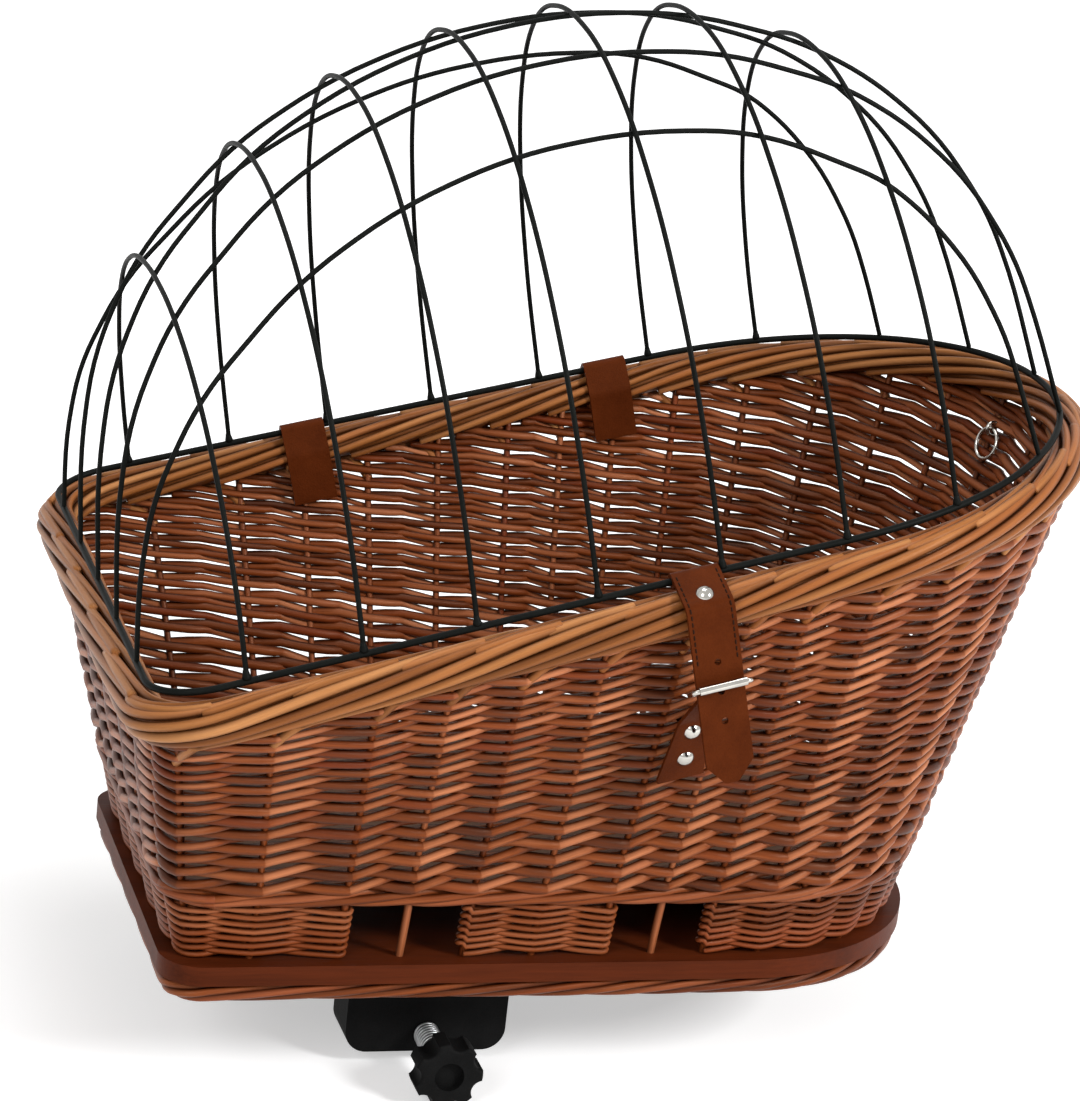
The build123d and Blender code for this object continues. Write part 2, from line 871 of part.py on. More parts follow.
staple_plate = Pos(washer_place, 0, 0) * Rot(0, 90, 0) * Cylinder(
    staple_washer_radius, staple_washer
)
leash_staple = staple + staple_plate
save(leash_staple.moved(leash_place), "leash_staple")
leg_gap = leash_radius + pin_play
for side in (-1, 1):
    leg = Pos(-wall_thickness / 2, side * staple_radius, 0) * Rot(0, 90, 0) * Cylinder(
        leg_gap, wall_thickness * 2
    )
    upper_weave -= leg.moved(leash_place)
leash_ring = Pos(leash_stand, -leash_ring_radius, 0) * Rot(0, 90, 0) * Torus(
    leash_ring_radius, leash_radius
)
save(leash_ring.moved(leash_place), "leash_ring")
save(upper_weave, "upper_weave")
save(rim_border, "rim_border")

# Carrier rail: a channel under the board

rail = Pos(0, 0, rail_height / 2) * Box(rail_length, rail_width, rail_height)
rail -= Pos(0, 0, rail_web + rail_height / 2) * Box(
    rail_length * 2, rail_width - 2 * rail_wall, rail_height
)
rail -= Pos(clamp_place, 0, 0) * Box(
    body_length + 2 * near_gap, rail_width * 2, seat_step * 2
)
shank_radius = rail_screw / 2
rail_screws = []
rail_nuts = []
for x, y in rail_screw_spots:
    length = board_top + nut_depth
    head = Pos(x, y, screw_head_depth / 2) * Cone(
        screw_head_radius, shank_radius, screw_head_depth
    )
    shank = Pos(x, y, length / 2) * Cylinder(shank_radius, length)
    screw = head + shank
    rail -= screw
    rail_screws.append(screw)
    nut = Pos(x, y, board_top) * extrude(RegularPolygon(nut_radius, 6), nut_depth)
    rail_nuts.append(nut - Pos(x, y, board_top) * Cylinder(shank_radius, nut_depth * 3))
body_screws = []
body_spots = [
    (clamp_place + i * body_screw_x, j * body_screw_y) for i in (-1, 1) for j in (-1, 1)
]
for x, y in body_spots:
    head = Pos(x, y, rail_web + pan_head_height / 2) * Cylinder(
        pan_head_radius, pan_head_height
    )
    length = rail_web + body_screw_length
    shank = Pos(x, y, rail_web - length / 2) * Cylinder(shank_radius, length)
    rail -= Pos(x, y, rail_web / 2) * Cylinder(shank_radius + pin_play, rail_web * 2)
    body_screws.append(head + shank)
save(rail, "carrier_rail")
save(group(rail_screws), "rail_screws")
save(group(rail_nuts), "rail_nuts")
save(group(body_screws), "body_screws")

# Clamp body with the nut in its far face, and the fixed far jaw

screw_radius = screw_diameter / 2
body_block = Pos(clamp_place, 0, (seat_step - clamp_depth) / 2) * Box(
    body_length, rail_width, clamp_depth + seat_step
)
body_block = fillet(body_block.edges().filter_by(Axis.Z), rail_wall)


def across(y, radius, length):
    """A cylinder along Y on the line of the clamp screw, starting at y."""
    return Pos(clamp_place, y + length / 2, -screw_drop) * Rot(90, 0, 0) * Cylinder(
        radius, length
    )


screw_bore = across(-rail_width, screw_radius + screw_play, rail_width * 2)
nut_block = Pos(clamp_place, body_half - nut_height / 2, -screw_drop) * Box(
    nut_width, nut_height, nut_width
)
nut_pocket = Pos(clamp_place, body_half, -screw_drop) * Box(
    nut_width + 2 * pin_play, nut_height * 2, nut_width + 2 * pin_play
)
body_block -= screw_bore + nut_pocket
for x, y in body_spots:
    body_block -= Pos(x, y, 0) * Cylinder(shank_radius + pin_play, body_screw_length * 2)


def jaw(inner):
    """A jaw on the far side: it hooks under and over the carrier tube."""
    height = clamp_depth - jaw_top_gap
    middle = -jaw_top_gap - height / 2
    block = Pos(clamp_place, (inner + jaw_outer_y) / 2, middle) * Box(
        clamp_length, jaw_outer_y - inner, height
    )
    low_corners = block.edges().filter_by(Axis.Y).sort_by(Axis.Z)[:2]
    block = fillet(low_corners, jaw_corner)
    groove = Pos(clamp_place, tube_y, tube_z) * Rot(0, 90, 0) * Cylinder(
        tube_radius, clamp_length * 2
    )
    mouth_height = tube_radius - tube_z
    mouth = Pos(clamp_place, 0, tube_z - tube_radius + mouth_height / 2) * Box(
        clamp_length * 2, tube_y * 2, mouth_height
    )
    return block - groove - mouth


far_jaw = jaw(body_half) - across(0, screw_radius + screw_play, screw_end + overrun)
jaw_screws = []
for x in (-body_screw_x, body_screw_x):
    head_y = jaw_outer_y - jaw_screw_head_depth
    head = Pos(x, 0, 0) * across(head_y, pan_head_radius, pan_head_height)
    start = body_half - jaw_screw_bite
    shank = Pos(x, 0, 0) * across(start, shank_radius, head_y - start)
    recess = Pos(x, 0, 0) * across(head_y, pan_head_radius + pin_play, jaw_screw_head_depth)
    hole = Pos(x, 0, 0) * across(start, shank_radius + pin_play, head_y - start)
    far_jaw -= recess + hole
    body_block -= hole
    jaw_screws.append(head + shank)
save(body_block, "clamp_body")
save(far_jaw, "far_jaw")
save(group(jaw_screws), "jaw_screws")
save(nut_block - across(0, screw_radius + pin_play, rail_width), "clamp_nut")

# Near jaw, which slides on the screw, with its spring and washer

jaw_bore = across(0, screw_radius + screw_play, jaw_outer_y + overrun)
near_jaw = jaw(body_half + jaw_play) - jaw_bore
near_jaw = near_jaw.mirror(Plane.XZ)
save(near_jaw, "near_jaw")


def biarc(start, start_tangent, end, end_tangent):
    """Two arcs that meet smoothly between two points with given tangents."""
    gap = end - start
    both = start_tangent + end_tangent
    a = 2 * (1 - start_tangent.dot(end_tangent))
    b = 2 * gap.dot(both)
    c = -gap.dot(gap)
    reach = (-b + math.sqrt(b * b - 4 * a * c)) / (2 * a)
    first = start + start_tangent * reach
    second = end - end_tangent * reach
    middle = (first + second) / 2
    return [
        TangentArc(start, middle, tangent=start_tangent).edge(),
        TangentArc(middle, end, tangent=second - first).edge(),
    ]


def helix_point(turn):
    angle = 2 * math.pi * turn
    travel = spring_wire / 2 + spring_rise * turn
    return Vector(spring_radius * math.cos(angle), spring_radius * math.sin(angle), travel)


def helix_tangent(turn):
    angle = 2 * math.pi * turn
    speed = 2 * math.pi * spring_radius
    return Vector(-speed * math.sin(angle), speed * math.cos(angle), spring_rise).normalized()


spring_rise = (spring_length - spring_wire) / spring_turns
quarters = [i / 4 for i in range(4 * spring_turns + 1)]
spring_edges = []
for a, b in zip(quarters, quarters[1:]):
    spring_edges += biarc(
        helix_point(a), helix_tangent(a), helix_point(b), helix_tangent(b)
    )
spring_path = Wire(spring_edges)
spring = sweep(
    Plane(origin=helix_point(0), z_dir=helix_tangent(0)) * Circle(spring_wire / 2),
    path=spring_path,
)
screw_line = Plane(
    origin=(clamp_place, -jaw_outer_y, -screw_drop), x_dir=(1, 0, 0), z_dir=(0, -1, 0)
).location
save(spring.moved(screw_line), "clamp_spring")
steps = 40
spots = [spring_path @ (i / steps / spring_turns) for i in range(steps * spring_turns + 1)]
least_gap = min(
    (a - b).length
    for i, a in enumerate(spots)
    for b in spots[i + steps // 2 :]
)
print("spring: least gap to itself", round(least_gap - spring_wire, 2))
washer = Pos(0, 0, spring_length) * extrude(
    Circle(washer_radius) - Circle(screw_radius + screw_play), washer_thickness
)
save(washer.moved(screw_line), "spring_washer")

# Clamp screw and its star knob

boss_start = spring_length + washer_thickness + screw_play / 3
knob_start = boss_start + knob_boss_length
knob_end = knob_start + knob_thickness
knob_face = Circle(knob_radius)
for number in range(knob_lobes):
    turn = 360 * (number + 0.5) / knob_lobes
    reach = knob_radius - knob_scallop_depth + knob_scallop_radius
    knob_face -= Rot(0, 0, turn) * Pos(reach, 0) * Circle(knob_scallop_radius)
knob = Pos(0, 0, knob_start) * extrude(knob_face, knob_thickness)
rims = knob.edges().filter_by(Plane.XY)
knob = fillet(rims, knob_fillet)
knob += Pos(0, 0, boss_start) * extrude(Circle(knob_boss_radius), knob_boss_length)
knob -= Pos(0, 0, knob_end) * Cylinder(knob_recess_radius, knob_recess_depth * 2)
screw_tip = knob_end - knob_recess_depth - overrun
knob -= Pos(0, 0, screw_tip / 2) * Cylinder(screw_radius, screw_tip)
save(knob.moved(screw_line), "star_knob")
screw_length = jaw_outer_y + screw_end + screw_tip
clamp_screw = Pos(0, 0, screw_tip - screw_length / 2) * Cylinder(screw_radius, screw_length)
save(clamp_screw.moved(screw_line), "clamp_screw")

# Joint places, for the record


def show(name, place, direction=(1, 0, 0)):
    spot = place.position / 1000
    along = Plane(place).x_dir if direction == (1, 0, 0) else Plane(place).z_dir
    print(
        name,
        [round(value, 6) for value in spot],
        [round(value, 6) for value in along],
    )


show("dome hinge (x axis)", side_frame(0, 1))
show("strap swing (x axis)", strap_place)
show("buckle tilt (x axis)", strap_place * bar_spot)
show("roller spin (x axis)", strap_place * roller_spot)
show("leash swing (z axis)", leash_place * Location((leash_stand, 0, 0)), "z")
show("knob spin (z axis)", screw_line, "z")
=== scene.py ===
import json
import math
import random

import bpy
import numpy as np
from mathutils import Matrix, Vector


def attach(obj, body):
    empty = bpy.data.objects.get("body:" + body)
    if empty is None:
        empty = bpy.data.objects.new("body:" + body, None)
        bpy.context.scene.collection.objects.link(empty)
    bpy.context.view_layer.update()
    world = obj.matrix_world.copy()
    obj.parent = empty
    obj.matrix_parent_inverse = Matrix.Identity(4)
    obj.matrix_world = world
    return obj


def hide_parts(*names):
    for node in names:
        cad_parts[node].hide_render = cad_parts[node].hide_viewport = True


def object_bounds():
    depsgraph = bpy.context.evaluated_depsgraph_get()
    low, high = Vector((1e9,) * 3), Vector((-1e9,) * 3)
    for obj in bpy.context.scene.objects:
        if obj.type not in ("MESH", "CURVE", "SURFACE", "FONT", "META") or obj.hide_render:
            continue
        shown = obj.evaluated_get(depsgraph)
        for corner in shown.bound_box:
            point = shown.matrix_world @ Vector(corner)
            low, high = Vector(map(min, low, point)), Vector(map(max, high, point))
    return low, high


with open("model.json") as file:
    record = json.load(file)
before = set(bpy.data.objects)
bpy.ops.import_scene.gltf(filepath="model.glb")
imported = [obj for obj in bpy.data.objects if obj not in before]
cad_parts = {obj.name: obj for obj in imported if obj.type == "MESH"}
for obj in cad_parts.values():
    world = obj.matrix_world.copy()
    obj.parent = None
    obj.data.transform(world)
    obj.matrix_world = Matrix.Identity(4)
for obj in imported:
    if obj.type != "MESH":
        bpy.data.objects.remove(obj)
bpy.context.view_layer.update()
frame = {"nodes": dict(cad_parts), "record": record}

nodes = frame["nodes"]
rng = random.Random(11)
MM = 0.001

# Driving sizes in millimetres, as in the part's source
BOARD_TOP = 30.0
BAND_LOW = 66.0
BAND_HIGH = 78.0
BOARD_LEFT = -247.5
FOOT_LEFT = -242.5
FOOT_CENTRE = 109.5
FOOT_RADIUS = 130.0
BOARD_RADIUS = 138.0
GROWTH = 0.25
CORNER = 25.0
TILT = math.radians(14.14)
FLARE = math.radians(1.15)
RING_Z = 223.3
RING_LEFT = -31.0
RING_CENTRE = 370.0
RING_RADIUS = 193.0
RING_CORNER = 35.0
WALL_TOP_GROW = 8.0
WALL_TOP_DROP = 30.5
ROLL_DROP = 17.7
ROLL_RADIUS = 12.5
ROLL_OFFSET = 5.0
HALF_WALL = 6.0


# Outlines of the foot, the ring and the wall between them


class Outline:
    """The part's D-shaped outline, sampled by segment and share of a segment."""

    def __init__(self, left, centre, radius, corner, lean):
        self.left, self.centre, self.radius = left, centre, radius
        self.corner, self.lean = corner, lean

    def grown(self, by):
        return Outline(
            self.left - by, self.centre, self.radius + by, self.corner + by, self.lean
        )

    def segments(self):
        tx = self.centre + self.radius * math.sin(self.lean)
        ty = self.radius * math.cos(self.lean)
        run = (self.centre - self.left) * math.sin(self.lean)
        top = (self.radius + run) / math.cos(self.lean)
        vertex = np.array([self.left, -top])
        to_side = np.array([tx, -ty]) - vertex
        to_side /= np.linalg.norm(to_side)
        to_mid = np.array([0.0, 1.0])
        angle = math.acos(float(to_side @ to_mid))
        reach = self.corner / math.tan(angle / 2)
        bisector = to_side + to_mid
        bisector /= np.linalg.norm(bisector)
        centre = vertex + bisector * self.corner / math.sin(angle / 2)
        return vertex, to_side, to_mid, reach, centre, np.array([tx, -ty])

    def sample(self, seg, share):
        """Points of one of the seven segments, from the left end's middle to the
        near side, the round end, the far side and back."""
        vertex, to_side, to_mid, reach, centre, tangent = self.segments()
        share = np.asarray(share)[:, None]
        if seg in (4, 5, 6):
            mirrored = self.sample(6 - seg, 1 - share[:, 0])
            return mirrored * np.array([1.0, -1.0])
        if seg == 0:
            a, b = np.array([self.left, 0.0]), vertex + to_mid * reach
            return a + (b - a) * share
        if seg == 1:
            a, b = vertex + to_mid * reach - centre, vertex + to_side * reach - centre
            start = math.atan2(a[1], a[0])
            turn = math.atan2(b[1], b[0]) - start
            turn = (turn + math.pi) % (2 * math.pi) - math.pi
            angles = start + turn * share
            return centre + self.corner * np.hstack([np.cos(angles), np.sin(angles)])
        if seg == 2:
            a = vertex + to_side * reach
            return a + (tangent - a) * share
        start = math.atan2(tangent[1], tangent[0] - self.centre)
        angles = start + (-2 * start) * share
        middle = np.array([self.centre, 0.0])
        return middle + self.radius * np.hstack([np.cos(angles), np.sin(angles)])


foot_line = Outline(FOOT_LEFT, FOOT_CENTRE, FOOT_RADIUS, CORNER, 0.0)
mid_line = foot_line.grown((BAND_HIGH - BOARD_TOP) * GROWTH)
ring_line = Outline(RING_LEFT, RING_CENTRE, RING_RADIUS, RING_CORNER, FLARE)
top_line = ring_line.grown(WALL_TOP_GROW)
roll_line = ring_line.grown(ROLL_OFFSET)
board_line = Outline(BOARD_LEFT, FOOT_CENTRE, BOARD_RADIUS, CORNER, 0.0)

SEG_STEPS = 80


def table(outline):
    """Points along the whole outline, the same number in each segment."""
    shares = np.arange(SEG_STEPS) / SEG_STEPS
    rows = [outline.sample(seg, shares) for seg in range(7)]
    rows.append(outline.sample(6, np.array([1.0])))
    return np.vstack(rows)


def on_ring_plane(points, drop):
    """Ring coordinates to the row frame, at a depth under the ring's plane."""
    along = np.array([math.cos(TILT), 0, math.sin(TILT)])
    up = np.array([-math.sin(TILT), 0, math.cos(TILT)])
    origin = np.array([BOARD_LEFT, 0, RING_Z])
    drop = np.broadcast_to(drop, len(points))
    return (
        origin
        + points[:, :1] * along
        + points[:, 1:2] * np.array([0, 1.0, 0])
        - drop[:, None] * up
    )


foot_table = np.column_stack([table(foot_line), np.full(7 * SEG_STEPS + 1, BOARD_TOP)])
mid_table = np.column_stack([table(mid_line), np.full(7 * SEG_STEPS + 1, BAND_HIGH)])
top_table = on_ring_plane(table(top_line), WALL_TOP_DROP)
roll_table = on_ring_plane(table(roll_line), ROLL_DROP)
steps = np.linalg.norm(np.diff(mid_table, axis=0), axis=1)
girth = np.concatenate([[0.0], np.cumsum(steps)])
TOTAL = girth[-1]


def look_up(values, g):
    g = np.mod(g, TOTAL)
    return np.column_stack([np.interp(g, girth, values[:, i]) for i in range(3)])


def outward(points_table, g):
    step = 2.0
    run = look_up(points_table, g + step) - look_up(points_table, g - step)
    normal = np.column_stack([run[:, 1], -run[:, 0], np.zeros(len(run))])
    return normal / np.linalg.norm(normal, axis=1)[:, None]


def wall(g, z, depth):
    """Points of the wall at a girth and height; depth is outwards from its middle."""
    g, z, depth = np.broadcast_arrays(g, z, depth)
    foot, mid, top = (look_up(t, g) for t in (foot_table, mid_table, top_table))
    low_share = ((z - BOARD_TOP) / (BAND_HIGH - BOARD_TOP))[:, None]
    high_share = ((z - BAND_HIGH) / (top[:, 2] - BAND_HIGH))[:, None]
    low = foot + (mid - foot) * low_share
    high = mid + (top - mid) * high_share
    spot = np.where(z[:, None] < BAND_HIGH, low, high)
    mixed = np.clip(high_share, 0, 1)
    normal = outward(mid_table, g) * (1 - mixed) + outward(top_table, g) * mixed
    normal /= np.linalg.norm(normal, axis=1)[:, None]
    return spot + normal * (depth - HALF_WALL)[:, None], normal


def top_height(g):
    return look_up(top_table, g)[:, 2]


# Stakes: their places along the girth

SIDE_STAKES = [-195.75, -144.0, -106.0, -68.0, -25.75, 16.5, 49.0, 81.5]
ROUND_STAKES = 13
LEFT_STAKES = 5


def girth_at(x):
    """Girth of the near side's point at a place along the board."""
    near = slice(2 * SEG_STEPS, 3 * SEG_STEPS + 1)
    return float(np.interp(x, mid_table[near, 0], girth[near]))


near_corner = float(girth[SEG_STEPS + SEG_STEPS // 2])
stakes = [near_corner] + [girth_at(x) for x in SIDE_STAKES]
last = stakes[-1]
gap = (TOTAL - 2 * last) / (ROUND_STAKES + 1)
stakes += [last + gap * (i + 1) for i in range(ROUND_STAKES)]
stakes += [TOTAL - g for g in reversed(stakes[: len(SIDE_STAKES) + 1])]
gap = (near_corner + TOTAL - stakes[-1]) / (LEFT_STAKES + 1)
far_corner = stakes[-1]
stakes += [far_corner + gap * (i + 1) for i in range(LEFT_STAKES)]
COUNT = len(stakes)
stake_table = np.array(stakes + [stakes[0] + TOTAL])


def stake_girth(t):
    """Girth at a real-valued stake number."""
    t = np.asarray(t, float)
    turns = np.floor(t / COUNT)
    return np.interp(t - turns * COUNT, np.arange(COUNT + 1), stake_table) + turns * TOTAL


# Round rods


class Tubes:
    """Collects round rods into one mesh, with a random number for each rod and the
    place along it and round it as attributes."""

    def __init__(self, sides=8):
        self.sides = sides
        self.verts, self.faces = [], []
        self.rnd, self.along, self.turn, self.tone, self.proud = [], [], [], [], []
        self.count = 0

    def add(self, points, radii, reference, tone=0.5, blunt=0.35):
        points = np.asarray(points, float)
        n = len(points)
        radii = np.broadcast_to(np.asarray(radii, float), n).copy()
        tangent = np.gradient(points, axis=0)
        tangent /= np.linalg.norm(tangent, axis=1)[:, None]
        side = np.cross(tangent, np.broadcast_to(reference, points.shape))
        side /= np.linalg.norm(side, axis=1)[:, None]
        up = np.cross(side, tangent)
        length = np.concatenate(
            [[0.0], np.cumsum(np.linalg.norm(np.diff(points, axis=0), axis=1))]
        )
        # a rounded tip at each end
        head = points[0] - tangent[0] * radii[0] * blunt
        tail = points[-1] + tangent[-1] * radii[-1] * blunt
        points = np.vstack([head, points, tail])
        radii = np.concatenate([[radii[0] * 0.72], radii, [radii[-1] * 0.72]])
        side = np.vstack([side[:1], side, side[-1:]])
        up = np.vstack([up[:1], up, up[-1:]])
        length = np.concatenate([length[:1], length, length[-1:]])
        tones = np.broadcast_to(np.asarray(tone, float), n)
        tones = np.concatenate([tones[:1], tones, tones[-1:]])
        n += 2
        angles = 2 * math.pi * np.arange(self.sides) / self.sides
        ring = (
            side[:, None, :] * np.cos(angles)[None, :, None]
            + up[:, None, :] * np.sin(angles)[None, :, None]
        )
        verts = points[:, None, :] + ring * radii[:, None, None]
        base = self.count
        self.verts.append(verts.reshape(-1, 3))
        m = self.sides
        i, j = np.meshgrid(np.arange(n - 1), np.arange(m), indexing="ij")
        a = base + i * m + j
        b = base + i * m + (j + 1) % m
        quads = np.stack([a, a + m, b + m, b], axis=-1).reshape(-1, 4)
        self.faces.extend(quads[:, ::-1].tolist())
        self.faces.append([base + j for j in range(m)][::-1])
        self.faces.append([base + (n - 1) * m + j for j in range(m)])
        size = n * m
        self.rnd.append(np.full(size, rng.random()))
        self.tone.append(np.repeat(tones, m))
        self.along.append(np.repeat(length * MM + rng.random() * 5, m))
        self.turn.append(np.tile(np.arange(m) / m, n))
        # proud: how squarely each face turns out or in from the wall; the willow material
        # paints shade on the sides by it
        self.proud.append(np.tile(np.abs(np.sin(angles)), n))
        self.count += size

    def build(self, name, material, body="basket"):
        mesh = bpy.data.meshes.new(name)
        verts = np.vstack(self.verts) * MM
        mesh.from_pydata(verts.tolist(), [], self.faces)
        for key, values in (
            ("rnd", self.rnd),
            ("along", self.along),
            ("turn", self.turn),
            ("tone", self.tone),
            ("proud", self.proud),
        ):
            layer = mesh.attributes.new(key, "FLOAT", "POINT")
            layer.data.foreach_set("value", np.concatenate(values).astype(np.float32))
        mesh.polygons.foreach_set("use_smooth", [True] * len(mesh.polygons))
        mesh.materials.append(material)
        mesh.update()
        obj = bpy.data.objects.new(name, mesh)
        bpy.context.scene.collection.objects.link(obj)
        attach(obj, body)
        return obj


def smooth(values, passes=2):
    values = np.array(values, float)
    for _ in range(passes):
        inner = (values[:-2] + 2 * values[1:-1] + values[2:]) / 4
        values = np.concatenate([values[:1], inner, values[-1:]])
    return values


# Materials


def new_material(name):
    mat = bpy.data.materials.new(name)
    mat.use_nodes = True
    tree = mat.node_tree
    for node in list(tree.nodes):
        tree.nodes.remove(node)
    out = tree.nodes.new("ShaderNodeOutputMaterial")
    shader = tree.nodes.new("ShaderNodeBsdfPrincipled")
    tree.links.new(shader.outputs[0], out.inputs[0])
    return mat, tree, shader


class Nodes:
    """Short calls for the shader trees."""

    def __init__(self, tree):
        self.tree = tree

    def put(self, kind, **values):
        node = self.tree.nodes.new(kind)
        for key, value in values.items():
            setattr(node, key, value)
        return node

    def link(self, a, b):
        self.tree.links.new(a, b)

    def attribute(self, name):
        return self.put("ShaderNodeAttribute", attribute_name=name).outputs["Fac"]

    def math(self, kind, a, b=0.0, clamp=False):
        node = self.put("ShaderNodeMath", operation=kind, use_clamp=clamp)
        for socket, value in zip(node.inputs, (a, b)):
            if isinstance(value, (int, float)):
                socket.default_value = value
            else:
                self.link(value, socket)
        return node.outputs[0]

    def combine(self, x, y, z):
        node = self.put("ShaderNodeCombineXYZ")
        for socket, value in zip(node.inputs, (x, y, z)):
            if isinstance(value, (int, float)):
                socket.default_value = value
            else:
                self.link(value, socket)
        return node.outputs[0]

    def noise(self, vector, scale, detail=2.0, rough=0.5):
        node = self.put("ShaderNodeTexNoise")
        node.inputs["Scale"].default_value = scale
        node.inputs["Detail"].default_value = detail
        node.inputs["Roughness"].default_value = rough
        if vector is not None:
            self.link(vector, node.inputs["Vector"])
        return node.outputs["Fac"]

    def ramp(self, value, stops):
        node = self.put("ShaderNodeValToRGB")
        ramp = node.color_ramp
        while len(ramp.elements) < len(stops):
            ramp.elements.new(0.5)
        for element, (place, colour) in zip(ramp.elements, stops):
            element.position = place
            element.color = (*colour, 1.0)
        self.link(value, node.inputs["Fac"])
        return node.outputs["Color"]

    def mix(self, share, a, b, blend="MIX"):
        node = self.put("ShaderNodeMix", data_type="RGBA", blend_type=blend)
        sockets = (node.inputs[0], node.inputs[6], node.inputs[7])
        for socket, value in zip(sockets, (share, a, b)):
            if isinstance(value, (int, float)):
                socket.default_value = value
            elif isinstance(value, tuple):
                socket.default_value = (*value, 1.0)
            else:
                self.link(value, socket)
        return node.outputs[2]

    def bump(self, height, strength, distance):
        node = self.put("ShaderNodeBump")
        node.inputs["Strength"].default_value = strength
        node.inputs["Distance"].default_value = distance
        self.link(height, node.inputs["Height"])
        return node.outputs["Normal"]

    def map_range(self, value, low, high):
        node = self.put("ShaderNodeMapRange")
        node.inputs["To Min"].default_value = low
        node.inputs["To Max"].default_value = high
        self.link(value, node.inputs["Value"])
        return node.outputs["Result"]

    def object_coords(self):
        return self.put("ShaderNodeTexCoord").outputs["Object"]


def willow(name, dark, middle, light, red, rough=0.36):
    """Steamed willow: each rod has its own tint, with long streaks and dark nicks; the tone
    attribute adds painted highlight and painted shade along the rods, and the proud attribute
    adds painted shade on their sides.
    """
    mat, tree, shader = new_material(name)
    n = Nodes(tree)
    rnd, along = n.attribute("rnd"), n.attribute("along")
    turn, tone = n.attribute("turn"), n.attribute("tone")
    shift = n.math("MULTIPLY", rnd, 37.0)
    angle = n.math("MULTIPLY", turn, 2 * math.pi)
    ring = n.combine(
        n.math("MULTIPLY", n.math("COSINE", angle), 0.8),
        n.math("MULTIPLY", n.math("SINE", angle), 0.8),
        n.math("ADD", n.math("MULTIPLY", along, 9.0), shift),
    )
    streak = n.noise(ring, 2.2, 4.0, 0.6)
    patch = n.noise(n.combine(shift, 0.0, n.math("MULTIPLY", along, 11.0)), 1.0, 2.0)
    level = n.math("ADD", n.math("MULTIPLY", rnd, 0.36), n.math("MULTIPLY", patch, 0.5))
    level = n.math("ADD", level, n.math("MULTIPLY", streak, 0.35))
    # the tone attribute holds the rod's own tone and, in the upper weave, painted highlight and
    # painted shade
    level = n.math("ADD", level, n.math("SUBTRACT", tone, 0.62), clamp=True)
    colour = n.ramp(level, [(0.1, dark), (0.5, middle), (0.95, light)])
    fine_place = n.combine(
        n.math("MULTIPLY", n.math("COSINE", angle), 3.0),
        n.math("MULTIPLY", n.math("SINE", angle), 3.0),
        n.math("ADD", n.math("MULTIPLY", along, 90.0), shift),
    )
    fine = n.noise(fine_place, 2.0, 3.0, 0.6)
    nick = n.ramp(fine, [(0.24, (0.42, 0.3, 0.22)), (0.36, (1.0, 1.0, 1.0))])
    colour = n.mix(0.55, colour, nick, "MULTIPLY")
    odd = n.math("FRACT", n.math("MULTIPLY", rnd, 7.3))
    redder = n.ramp(odd, [(0.55, (0.0, 0.0, 0.0)), (0.95, (0.5, 0.5, 0.5))])
    colour = n.mix(redder, colour, red)
    # painted shade: each rod is darkened on its sides, where it faces its neighbours, and given
    # a slight painted highlight on the faces turned out and in
    crevice_shade_stops = [(0.0, (0.13, 0.085, 0.065)), (0.7, (0.74, 0.70, 0.68)), (1.0, (1.1, 1.08, 1.06))]
    crevice_shade = n.ramp(n.attribute("proud"), crevice_shade_stops)
    colour = n.mix(1.0, colour, crevice_shade, "MULTIPLY")
    n.link(colour, shader.inputs["Base Color"])
    n.link(n.map_range(fine, rough - 0.08, rough + 0.14), shader.inputs["Roughness"])
    n.link(n.bump(fine, 0.35, 0.0005), shader.inputs["Normal"])
    shader.inputs["Specular IOR Level"].default_value = 0.25
    shader.inputs["Specular Tint"].default_value = (1.0, 0.70, 0.52, 1.0)
    return mat


def grained(name, dark, light, rough, scale=1.0, coat=0.0, bump=0.25):
    """Stained or bare wood with grain along X."""
    mat, tree, shader = new_material(name)
    n = Nodes(tree)
    place = n.put("ShaderNodeMapping")
    place.inputs["Scale"].default_value = (3.0 * scale, 26.0 * scale, 26.0 * scale)
    n.link(n.object_coords(), place.inputs["Vector"])
    broad = n.noise(place.outputs[0], 1.4, 4.0, 0.6)
    fine_map = n.put("ShaderNodeMapping")
    fine_map.inputs["Scale"].default_value = (12 * scale, 260 * scale, 260 * scale)
    n.link(n.object_coords(), fine_map.inputs["Vector"])
    fine = n.noise(fine_map.outputs[0], 2.0, 4.0, 0.65)
    level = n.math("ADD", n.math("MULTIPLY", broad, 0.65), n.math("MULTIPLY", fine, 0.4))
    n.link(n.ramp(level, [(0.3, dark), (0.72, light)]), shader.inputs["Base Color"])
    n.link(n.map_range(fine, rough - 0.06, rough + 0.16), shader.inputs["Roughness"])
    n.link(n.bump(fine, bump, 0.0004), shader.inputs["Normal"])
    shader.inputs["Specular IOR Level"].default_value = 0.12
    shader.inputs["Specular Tint"].default_value = (1.0, 0.62, 0.5, 1)
    shader.inputs["Coat Weight"].default_value = coat
    shader.inputs["Coat Roughness"].default_value = 0.25
    return mat


